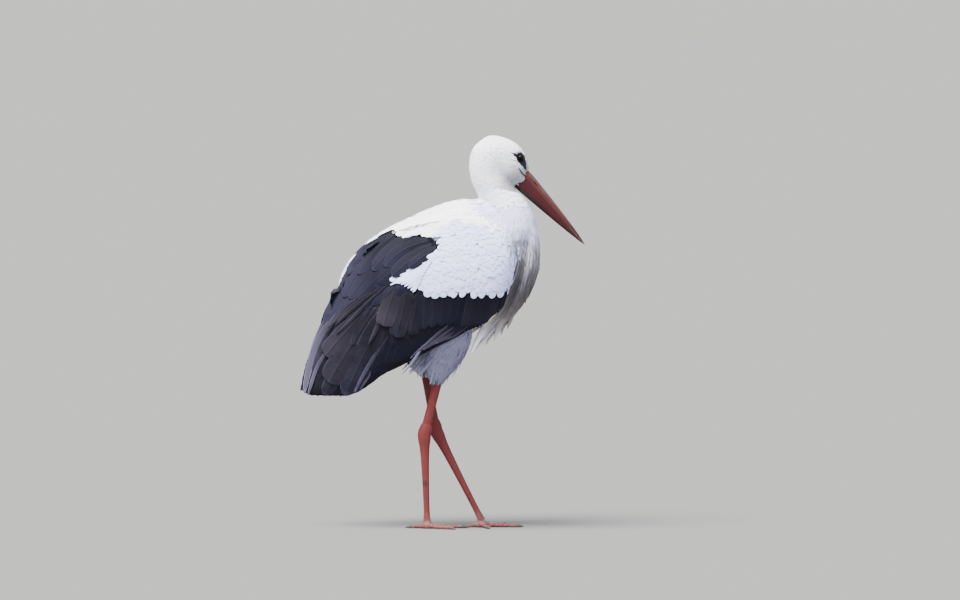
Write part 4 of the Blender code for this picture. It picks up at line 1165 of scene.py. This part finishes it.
# The cheek behind the bill is darker and browner, in soft mottled patches.
from_centre = finish.vectors("SUBTRACT", finish.place(), (HEAD_CENTRE[0], 0.0, HEAD_CENTRE[1]))
forward = finish.vectors("DOT_PRODUCT", from_centre, (HEAD_AXIS[0], 0.0, HEAD_AXIS[1]),
                         output="Value")
cheek = finish.limit(forward, 0.010, 0.046) * (0.62 + 0.5 * finish.cloud(finish.place(), 160.0))
colour = finish.mix(cheek, colour, (0.27, 0.255, 0.275))
dress(head_feathers, (finish, colour, gloss, relief), "white_plumage")

# The gape: a short black furrow of bare skin from the bill's corner up into the cheek.
GAPE = ((0.1606, 0.7585), (0.1632, 0.7548), (0.1668, 0.7490), (0.1706, 0.7440), (0.1770, 0.7408))
GAPE_ROWS = 14
for side, side_name in SIDES:
    spots, outs = form.from_side(stepped([GAPE], GAPE_ROWS), side)
    widths = 1.5 * MM * vane_shape(GAPE_ROWS, root=0.15, widest=0.4, blunt=0.75)[None]
    piece = feathers(f"gape_skin_{side_name}", spots + outs * (0.25 * MM), outs, widths,
                     np.zeros(1), VANE, thickness=0.4 * MM, camber=0.0)
    worn = speckled("gape_skin", (0.010, 0.007, 0.011), (0.030, 0.018, 0.022),
                    gloss=0.5, strength=0.5, distance=0.3 * MM)
    dress(piece, worn, "eye", Specular_IOR_Level=0.25)

# ---------------------------------------------------------------------------------------------
# Breast plumes
# Long loose lance-shaped feathers that hang from the lower neck in a ruff and part into free
# points over the belly.
# ---------------------------------------------------------------------------------------------
# Each lance is a line in side view, its width, and its tip's height over the form; the last two
# are in millimetres.
RUFF = (
    (((0.1578, 0.5071), (0.1368, 0.4650), (0.1074, 0.4356), (0.0822, 0.3977)), 17, 0.2),
    (((0.1473, 0.5028), (0.1221, 0.4650), (0.0948, 0.4313), (0.0696, 0.3872)), 17, 0.7),
    (((0.1515, 0.5134), (0.1284, 0.4692), (0.0969, 0.4334), (0.0612, 0.3700)), 20, 1.3),
    (((0.1578, 0.5155), (0.1410, 0.4776), (0.1221, 0.4440), (0.1032, 0.4145)), 11, 0.5),
    (((0.1725, 0.5239), (0.1578, 0.4818), (0.1410, 0.4566), (0.1200, 0.4166)), 12, 1.0),
    (((0.1641, 0.5239), (0.1473, 0.4818), (0.1284, 0.4440), (0.1095, 0.3930)), 17, 1.8),
    (((0.1767, 0.5323), (0.1662, 0.4902), (0.1515, 0.4566), (0.1368, 0.4190)), 11, 1.3),
    (((0.1809, 0.5491), (0.1746, 0.5071), (0.1620, 0.4734), (0.1452, 0.4378)), 10, 0.8),
    (((0.1851, 0.5617), (0.1809, 0.5197), (0.1704, 0.4881), (0.1557, 0.4520)), 9, 0.6),
    (((0.1872, 0.5701), (0.1851, 0.5344), (0.1809, 0.5049), (0.1746, 0.4730)), 8, 1.0),
    (((0.1935, 0.5912), (0.1935, 0.5575), (0.1872, 0.5281), (0.1788, 0.4965)), 8, 0.6),
    (((0.1977, 0.6080), (0.1998, 0.5764), (0.1956, 0.5449), (0.1872, 0.5020)), 8, 0.6),
    (((0.1620, 0.5870), (0.1641, 0.5407), (0.1515, 0.4986), (0.1326, 0.4566)), 6, 0.8),
    (((0.1389, 0.5130), (0.1284, 0.4860), (0.1150, 0.4590), (0.0950, 0.4350)), 11, 1.6),
    (((0.1350, 0.5030), (0.1235, 0.4755), (0.1080, 0.4500), (0.0870, 0.4270)), 10, 1.0),
    (((0.1683, 0.5701), (0.1683, 0.5281), (0.1578, 0.4881), (0.1410, 0.4503)), 7, 1.1),
    (((0.1746, 0.5617), (0.1746, 0.5197), (0.1662, 0.4860), (0.1536, 0.4587)), 7, 0.9),
)
PLUME_ROWS = 12
wanted = (face_owner == "breast_plumes") | ((face_owner == "neck_lower")
                                            & (face_middle[:, 0] > 0.125)
                                            & (face_middle[:, 2] < 0.68))
wanted |= (face_owner == "trunk") & flank
roots = scattered(3.1 * MM, wanted, tries=60000, seed=8)
count = len(roots)
lengths = np.interp(roots[:, 2], (0.42, 0.50, 0.58, 0.66), (0.045, 0.070, 0.075, 0.040))
lengths = lengths * varied(count, 0.18)
sunk = np.interp(roots[:, 2], (0.56, 0.62), (-4.0 * MM, -1.2 * MM))
tips_up = (0.5 + 0.8 * chance.normal(0, 1, count)) * MM
spines, outs, held = laid(roots, lengths, PLUME_ROWS, (sunk, tips_up), sway=0.07, free=True)
widths = (1.2 + 0.8 * chance.random((count, 1))) * MM
widths = widths * vane_shape(PLUME_ROWS, root=0.3, widest=0.4, blunt=0.25, point=1.3)
keep = held > 0.82
strands = chosen(keep, spines, outs, widths)
strand_side = np.where(roots[keep][:, 1] < 0, -1, 1)
plumes = []
for side, side_name in SIDES:
    here = (column[strand_side == side] for column in strands)
    plumes.append(feathers(f"ruff_strands_{side_name}", *here, BARB,
                           thickness=0.5 * MM, camber=0.12))
lance = vane_shape(PLUME_ROWS, root=0.25, widest=0.5, blunt=0.40, point=1.3) ** 1.2
lances = gathered([drooping(side, RUFF, PLUME_ROWS, sunk=7.0, shape=lance, flare=1.2)
                   for side, _ in SIDES])
plumes.append(feathers("ruff_plumes", *lances, VANE, thickness=0.5 * MM, camber=0.12))
# Colours by height: darkest grey at the breast's curve, paler above it and in the free points.
RUFF_GREYS = ((0.385, (0.92, 0.91, 0.93)), (0.410, (0.78, 0.76, 0.77)),
              (0.430, (0.44, 0.41, 0.395)), (0.448, (0.245, 0.220, 0.208)),
              (0.465, (0.158, 0.142, 0.136)),
              (0.490, (0.108, 0.099, 0.099)), (0.510, (0.090, 0.083, 0.087)),
              (0.532, (0.118, 0.111, 0.118)), (0.553, (0.170, 0.163, 0.176)),
              (0.575, (0.27, 0.262, 0.29)), (0.595, (0.41, 0.405, 0.46)),
              (0.640, (0.62, 0.62, 0.84)))
GREY_FOOT, GREY_SPAN = 0.38, 0.26
finish = Finish("plume_vane")
_, gloss, relief = white_barbs(finish)
place = finish.place()
tone = finish.stored("tone")
rise = finish.part(place, 2)
# The whole grey band sits a little lower on the plumes that stand in front.
ahead = finish.part(place, 0) + finish.maths("MAXIMUM", 0.56 - rise, 0.0) ** 1.3 - 0.163
strand = finish.vector(finish.stored("along") * finish.stored("length") * 0.12,
                       finish.stored("beside") * 0.0035, tone * 9.0)
fibre = finish.limit(finish.cloud(strand, 420.0, 3.0), 0.30, 0.70)
shift = (fibre - 0.5) * 0.016 + (tone - 0.5) * 0.030 + finish.limit(ahead, 0.010, 0.050) * 0.014
stops = [((height - GREY_FOOT) / GREY_SPAN, tint) for height, tint in RUFF_GREYS]
grey_band = finish.node("ShaderNodeValToRGB", {"stops": stops},
                    {"Fac": (rise + shift - GREY_FOOT) / GREY_SPAN})
strength = (0.62 + 0.55 * fibre) * (0.72 + 0.55 * tone)
strength = strength + (1.0 - strength) * finish.limit(rise, 0.60, 0.64)
colour = finish.node("ShaderNodeVectorMath", {"operation": "SCALE"},
                     {0: grey_band, "Scale": strength})
for piece in plumes:
    dress(piece, (finish, colour, gloss, relief), "cream_plumes", "breast_plumes")

# ---------------------------------------------------------------------------------------------
# Tail
# Twelve short white quills in a shallow fan under the closed wings; the coat of the trunk lies
# over their roots.
# ---------------------------------------------------------------------------------------------
TAIL_ROWS = 13
count = 12
fan = np.linspace(-1, 1, count)
t = stations(TAIL_ROWS)[None, :, None]
root = np.stack([np.full(count, -0.186), fan * 0.012, np.full(count, 0.500)], axis=-1)
tip = np.stack([-0.252 + 0.004 * fan ** 2, fan * 0.019, 0.316 + 0.010 * np.abs(fan)], axis=-1)
spines = root[:, None] * (1 - t) + tip[:, None] * t
outs = np.tile(np.array((-0.93, 0.0, 0.36)), (count, TAIL_ROWS, 1))
spines = spines + outs * (0.001 * (1 - np.abs(fan)))[:, None, None]
widths = np.full((count, 1), 0.0095) * vane_shape(TAIL_ROWS, root=0.6, widest=0.3, blunt=0.82)
tail_quills = feathers("tail_quills", spines, outs, widths, chance.random(count), RIB,
                       thickness=0.6 * MM, camber=0.06)
worn = white_finish("tail_vane", (0.80, 0.80, 0.83), (0.62, 0.62, 0.70), low=0.15, high=0.85)
dress(tail_quills, worn, "white_plumage", "tail")

# ---------------------------------------------------------------------------------------------
# Bare legs
# Each leg below its feathered hem is one red skin of small net-like scales over shin, ankle,
# shank, foot and toes, with earth stains low down and a dark claw on each toe.
# ---------------------------------------------------------------------------------------------
TOES = ("middle", "inner", "outer", "hind")
for side_name in ("right", "left"):
    nodes = [f"{part}_{side_name}" for part in ("tibia", "ankle", "tarsus", "foot")]
    nodes += [f"toe_{toe}_{side_name}" for toe in TOES]
    leg = grown_over(f"leg_skin_{side_name}", nodes, cell=1.0 * MM, rounds=3)
    places = coordinates(leg.data)
    places[:, 2] = np.maximum(places[:, 2], 0.0)
    leg.data.vertices.foreach_set("co", places.astype(np.float32).ravel())
    finish = Finish("leg_skin")
    place = finish.place()
    scales = finish.node("ShaderNodeTexVoronoi", {"feature": "DISTANCE_TO_EDGE"},
                         {"Vector": finish.vectors("MULTIPLY", place, (1.0, 1.0, 1.7)),
                          "Scale": 330.0, "Randomness": 0.75}, "Distance")
    plates = finish.limit(scales, 0.0, 0.12)
    grime = finish.cloud(place, 40.0, 5.0)
    fine = finish.cloud(place, 160.0, 3.0)
    height = finish.part(place, 2)
    low = 1.0 - finish.limit(height, 0.010, 0.045)
    muddy = finish.limit(grime * 0.7 + fine * 0.3, 0.54, 0.66) * (
        1.0 - finish.limit(height, 0.09, 0.17)) * 0.7
    # Painted shade: the far, left leg's skin is painted darker than the near one's.
    leg_shade = 0.78 if side_name == "left" else 0.95
    colour = finish.mix(grime, [value * leg_shade for value in (0.150, 0.020, 0.018)],
                        [value * leg_shade for value in (0.200, 0.040, 0.036)])
    colour = finish.mix((1.0 - plates) * 0.55, colour, (0.060, 0.008, 0.008))
    colour = finish.mix(muddy, colour, (0.026, 0.013, 0.012))
    colour = finish.mix(low * finish.limit(fine, 0.35, 0.65) * 0.6, colour,
                        (0.20, 0.125, 0.115))
    dress(leg, (finish, colour, 0.42 + 0.3 * fine,
                finish.bump(plates + fine * 0.2, 0.6, 0.5 * MM)),
          "leg_skin", *nodes, Specular_IOR_Level=0.2)

    # Claws: blunt dark horn, one on each toe.
    for toe in TOES:
        finish, colour, gloss, relief = speckled(
            "claw_horn", (0.022, 0.017, 0.015), (0.10, 0.080, 0.066),
            gloss=0.35, strength=0.3, distance=0.2 * MM)
        finish.wear(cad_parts[f"claw_{toe}_{side_name}"], colour, gloss, relief)

# ---------------------------------------------------------------------------------------------
# Bill
# Two long tapering sheaths of deep red horn that meet along the mouth line.  A slit of a nostril
# opens in a groove near the root of the upper one; dust and a painted highlight pale the ridge,
# and the tip is dark.
# ---------------------------------------------------------------------------------------------
BILL_ROOT, BILL_FULL, BILL_TIP = 0.046, 0.066, 0.245
CULMEN_UP, CHIN_DOWN, MOUTH_UP, BILL_HALF = 0.0222, 0.0222, 0.0062, 0.0122
NOSTRIL = (0.082, 0.0150, 0.0072, 0.0013)  # place along the axis, height, half length, half height


def on_head(along, high, out):
    """A point from its place along the head's axis, over it and out to the side."""
    x, z = HEAD_CENTRE + HEAD_AXIS * along + HEAD_UP * high
    return (x, out, z)


def horn_sheath(name, upper, steps=96, around=28):
    """Half a bill: rings of its outside and its cutting face, swept from root to tip."""
    built = bmesh.new()
    rings = []
    for step in range(steps):
        share = step / (steps - 1)
        along = BILL_ROOT + (BILL_TIP - BILL_ROOT) * math.sin(math.pi / 2 * share * 0.985)
        left = 1 - max(along - BILL_FULL, 0) / (BILL_TIP - BILL_FULL)
        mouth = MOUTH_UP * left
        half = BILL_HALF * left ** 0.80
        arch = CULMEN_UP * left ** 0.68 - mouth if upper else -CHIN_DOWN * left ** 0.80 - mouth
        ring = []
        for corner in range(around + 1):
            turn = math.pi * corner / around
            rise = math.sin(turn)
            out = math.copysign(abs(math.cos(turn)) ** 0.86, math.cos(turn))
            high = mouth + math.copysign(0.15 * MM, arch) + arch * rise
            if upper:
                slot_along = (along - NOSTRIL[0]) / NOSTRIL[2]
                slot_high = (high - NOSTRIL[1] * (0.4 + 0.6 * left)) / NOSTRIL[3]
                pit = math.exp(-(slot_along ** 4 + slot_high ** 2))
                groove = math.exp(-slot_high ** 2 / 4) * max(0, 1 - abs(along - 0.100) / 0.055)
                out *= 1 - (0.22 * pit + 0.05 * groove) * min(abs(out) * 2, 1)
            else:
                furrow = math.exp(-((rise - 0.42) / 0.07) ** 2) * max(0, left - 0.25)
                out *= 1 - 0.05 * furrow
            ring.append(built.verts.new(on_head(along, high, half * out)))
        # The cutting face along the mouth is slightly hollow.
        for corner in range(1, 6):
            out = -1 + 2 * corner / 6
            high = mouth + math.copysign(0.15 * MM + 0.4 * MM * left * (1 - out ** 2), arch)
            ring.append(built.verts.new(on_head(along, high, half * out)))
        rings.append(ring)
    for first, second in zip(rings, rings[1:]):
        for corner in range(len(first)):
            after = (corner + 1) % len(first)
            built.faces.new((first[corner], first[after], second[after], second[corner]))
    built.faces.new(rings[0])
    built.faces.new(list(reversed(rings[-1])))
    bmesh.ops.recalc_face_normals(built, faces=built.faces)
    sheath = from_built(name, built)
    sheath.data.set_sharp_from_angle(angle=math.radians(55))
    return sheath


for name, node, upper in (("bill_upper_sheath", "bill_upper", True),
                          ("bill_lower_sheath", "bill_lower", False)):
    sheath = horn_sheath(name, upper)
    finish = Finish(name)
    place = finish.place()
    rise = finish.part(place, 2)
    dx = finish.part(place, 0) - float(HEAD_CENTRE[0])
    dz = rise - float(HEAD_CENTRE[1])
    along = dx * float(HEAD_AXIS[0]) + dz * float(HEAD_AXIS[1])
    high = dx * float(HEAD_UP[0]) + dz * float(HEAD_UP[1])
    grain = finish.cloud(finish.vector(along * 0.12, high, rise * 0.05), 420.0, 4.0)
    patch = finish.cloud(place, 55.0, 4.0)
    tip = finish.limit(along, 0.150, 0.245)
    left = (BILL_TIP - along) / (BILL_TIP - BILL_FULL)
    if upper:
        colour = finish.mix(patch, (0.052, 0.0082, 0.0078), (0.078, 0.0155, 0.0130))
        # Dust on the ridge, with a painted highlight: the top of the upper sheath, which faces the
        # light, is paler.
        ridge = finish.limit(high / (left * 0.7 + 0.3), 0.012, 0.019)
        ridge_dust_and_sheen = finish.limit(patch * 0.6 + grain * 0.5, 0.42, 0.62) * ridge * (1.0 - tip * 0.5)
        colour = finish.mix(ridge_dust_and_sheen * 0.75, colour, (0.085, 0.055, 0.046))
        # Painted shade in the nostril's slit.
        slot = finish.size((along - NOSTRIL[0]) / (NOSTRIL[2] * 1.15))
        slit = finish.size((high - NOSTRIL[1] * (0.4 + 0.6 * left)) / (NOSTRIL[3] * 1.2))
        pit = (1.0 - finish.limit(slot, 0.6, 1.0)) * (1.0 - finish.limit(slit, 0.4, 1.0))
        colour = finish.mix(pit * 0.85, colour, (0.010, 0.005, 0.005))
    else:
        # Painted shade: the lower sheath is a darker red than the upper one, for the shade under
        # the bill.
        colour = finish.mix(patch, (0.042, 0.0056, 0.0078), (0.060, 0.0092, 0.0112))
        # Near-black at the chin near the root: black gular skin, deepened by painted shade on the
        # underside.
        chin = 1.0 - finish.limit(high / (left * 0.8 + 0.2), -0.0165, -0.0090)
        near = 1.0 - finish.limit(along, 0.110, 0.175)
        colour = finish.mix(chin * near * 0.9, colour, (0.010, 0.0080, 0.0080))
    mouth = 1.0 - finish.limit(finish.size(high - left * MOUTH_UP), 0.0002, 0.0012)
    colour = finish.mix(mouth * 0.6, colour, (0.020, 0.006, 0.006))
    colour = finish.mix(finish.limit(grain, 0.45, 0.75) * 0.35, colour, (0.032, 0.006, 0.006))
    colour = finish.mix(tip * (0.35 + 0.5 * grain), colour, (0.030, 0.010, 0.010))
    dress(sheath, (finish, colour, 0.32 + 0.25 * grain + 0.15 * patch,
                   finish.bump(grain, 0.25, 0.3 * MM)),
          "bill_horn", node, Specular_IOR_Level=0.2)

# ---------------------------------------------------------------------------------------------
# Eyes
# A dark brown eye with a bulging wet front, set in wrinkled black bare skin that runs down
# towards the gape, with a thick lid round the opening.
# ---------------------------------------------------------------------------------------------
EYE_RADIUS = 0.0078
EYE_BULGE = 0.045  # how far the wet front stands out, as a share of the radius
LID_OPENING = 0.0061
EYE_OUT = 0.0148
for side, side_name in SIDES:
    centre = Vector((EYE_PLACE[0], side * EYE_OUT, EYE_PLACE[1]))
    built = bmesh.new()
    bmesh.ops.create_uvsphere(built, u_segments=48, v_segments=32, radius=EYE_RADIUS)
    bmesh.ops.rotate(built, verts=built.verts,
                     matrix=Vector((0, 0, 1)).rotation_difference(Vector((0, side, 0))).to_matrix())
    for vert in built.verts:
        swell = max(vert.co.y * side / EYE_RADIUS, 0) ** 6
        vert.co *= 1 + EYE_BULGE * swell
    bmesh.ops.translate(built, verts=built.verts, vec=centre)
    finish = Finish("eye")
    offset = finish.vectors("SUBTRACT", finish.place(), centre[:])
    flat = finish.vectors("MULTIPLY", offset, (1, 0, 1))
    out = finish.vectors("LENGTH", flat, output="Value")
    rays = finish.cloud(offset, 700.0, 3.0)
    colour = finish.mix(finish.limit(out, 0.0027, 0.0031), (0.002, 0.002, 0.002),
                        (0.006, 0.003, 0.0025))
    colour = finish.mix(finish.limit(out + rays * 0.001, 0.0052, 0.0066), colour,
                        (0.003, 0.002, 0.002))
    dress(from_built(f"eyeball_{side_name}", built), (finish, colour, 0.05 + 0.03 * rays, None),
          "eye", f"eye_{side_name}", Specular_IOR_Level=0.06)

    # Bare skin: rings from the lid's rim out to the edge of the feathers.
    turns = 96
    steps = 14
    outline = np.array(BARE_FACE)
    rings = []
    for index in range(turns):
        turn = 2 * math.pi * index / turns
        ray = np.array((math.cos(turn), math.sin(turn)))
        reach = LID_OPENING * 1.25
        for first, second in zip(outline, np.roll(outline, -1, axis=0)):
            edge = second - first
            cross = ray[0] * edge[1] - ray[1] * edge[0]
            if abs(cross) > 1e-12:
                far = (first[0] * edge[1] - first[1] * edge[0]) / cross
                share = (first[0] * ray[1] - first[1] * ray[0]) / cross
                if 0 <= share <= 1 and far > 0:
                    reach = max(reach, far)
        for step in range(steps):
            share = (step / (steps - 1)) ** 1.3
            span = LID_OPENING * 0.96 + (reach + 0.8 * MM - LID_OPENING) * share
            rings.append(EYE_PLACE + ray * span)
    rings = np.array(rings).reshape(turns, steps, 2)
    spots, outs = form.from_side(rings, side)
    span = np.linalg.norm(rings - EYE_PLACE, axis=-1)
    ball = EYE_OUT + np.sqrt(np.maximum((EYE_RADIUS + 0.25 * MM) ** 2 - span ** 2, 0))
    hug = np.clip(1 - (span - LID_OPENING) / (1.6 * MM), 0, 1)
    share = np.linspace(0, 1, steps)[None]
    surface = np.abs(spots[..., 1]) + 0.1 * MM - 1.2 * MM * share ** 8
    roll = 0.9 * MM * np.exp(-((span - LID_OPENING - 1.0 * MM) / (0.9 * MM)) ** 2)
    wrinkle = 0.12 * MM * np.sin(span * 5200) * (1 - hug)
    depth = surface * (1 - hug) + np.minimum(ball, surface + 1.2 * MM) * hug + roll + wrinkle
    spots[..., 1] = side * depth
    built = bmesh.new()
    verts = [[built.verts.new(spot) for spot in row] for row in spots.tolist()]
    back = [[built.verts.new((spot[0], spot[1] - side * 1.0 * MM, spot[2])) for spot in row]
            for row in spots.tolist()]
    for index in range(turns):
        after = (index + 1) % turns
        for step in range(steps - 1):
            built.faces.new((verts[index][step], verts[index][step + 1],
                             verts[after][step + 1], verts[after][step]))
            built.faces.new((back[index][step], back[after][step],
                             back[after][step + 1], back[index][step + 1]))
        built.faces.new((verts[index][0], verts[after][0], back[after][0], back[index][0]))
        built.faces.new((verts[index][-1], back[index][-1], back[after][-1], verts[after][-1]))
    bmesh.ops.recalc_face_normals(built, faces=built.faces)
    dress(from_built(f"eye_skin_{side_name}", built),
          speckled("bare_face_skin", (0.005, 0.005, 0.008), (0.014, 0.013, 0.019),
                   gloss=0.5, strength=0.5, distance=0.3 * MM), "eye", Specular_IOR_Level=0.25)

# ---------------------------------------------------------------------------------------------
# Stage
# A plain pale floor, soft light from above and the front, and the camera far off on the bird's
# right, a little above its back.
# ---------------------------------------------------------------------------------------------
FLOOR_HALF = 90
floor_mesh = bpy.data.meshes.new("floor")
floor_mesh.from_pydata([(x * FLOOR_HALF, y * FLOOR_HALF, 0)
                        for x, y in ((-1, -1), (1, -1), (1, 1), (-1, 1))], [], [(0, 1, 2, 3)])
floor = as_object("floor", floor_mesh)
finish = Finish("floor")
finish.wear(floor, (0.165, 0.163, 0.155, 1.0), 0.95, Specular_IOR_Level=0.0)

world = bpy.data.worlds.new("soft_sky")
bpy.context.scene.world = world
world.use_nodes = True
sky = world.node_tree.nodes["Background"]
sky.inputs["Color"].default_value = (0.80, 0.85, 1.0, 1.0)
sky.inputs["Strength"].default_value = 1.2


def sun(name, heading, strength, softness, colour):
    light = bpy.data.lights.new(name, "SUN")
    light.energy = strength
    light.angle = math.radians(softness)
    light.color = colour
    lamp = bpy.data.objects.new(name, light)
    lamp.rotation_euler = Vector(heading).to_track_quat("-Z", "Y").to_euler()
    bpy.context.scene.collection.objects.link(lamp)


sun("key_light", (0.34, 0.34, -1.0), 15.0, 36, (1.0, 0.99, 0.98))
sun("front_light", (-0.2, 1.0, -0.35), 1.8, 60, (0.80, 0.82, 1.0))

CAMERA_FAR = 30.0
CAMERA_RISE = math.radians(3.0)
SENSOR_WIDTH = 36.0
VIEW_WIDTH = 2.016  # how much the camera takes in, at the bird
aim = Vector((0.0800, 0.0, 0.4795))
lens = bpy.data.cameras.new("camera")
lens.sensor_width = SENSOR_WIDTH
lens.lens = SENSOR_WIDTH * CAMERA_FAR / VIEW_WIDTH
lens.clip_end = 400.0
camera = bpy.data.objects.new("camera", lens)
camera.location = aim + Vector((0, -math.cos(CAMERA_RISE), math.sin(CAMERA_RISE))) * CAMERA_FAR
camera.rotation_euler = (math.pi / 2 - CAMERA_RISE, 0, 0)
bpy.context.scene.collection.objects.link(camera)
bpy.context.scene.camera = camera
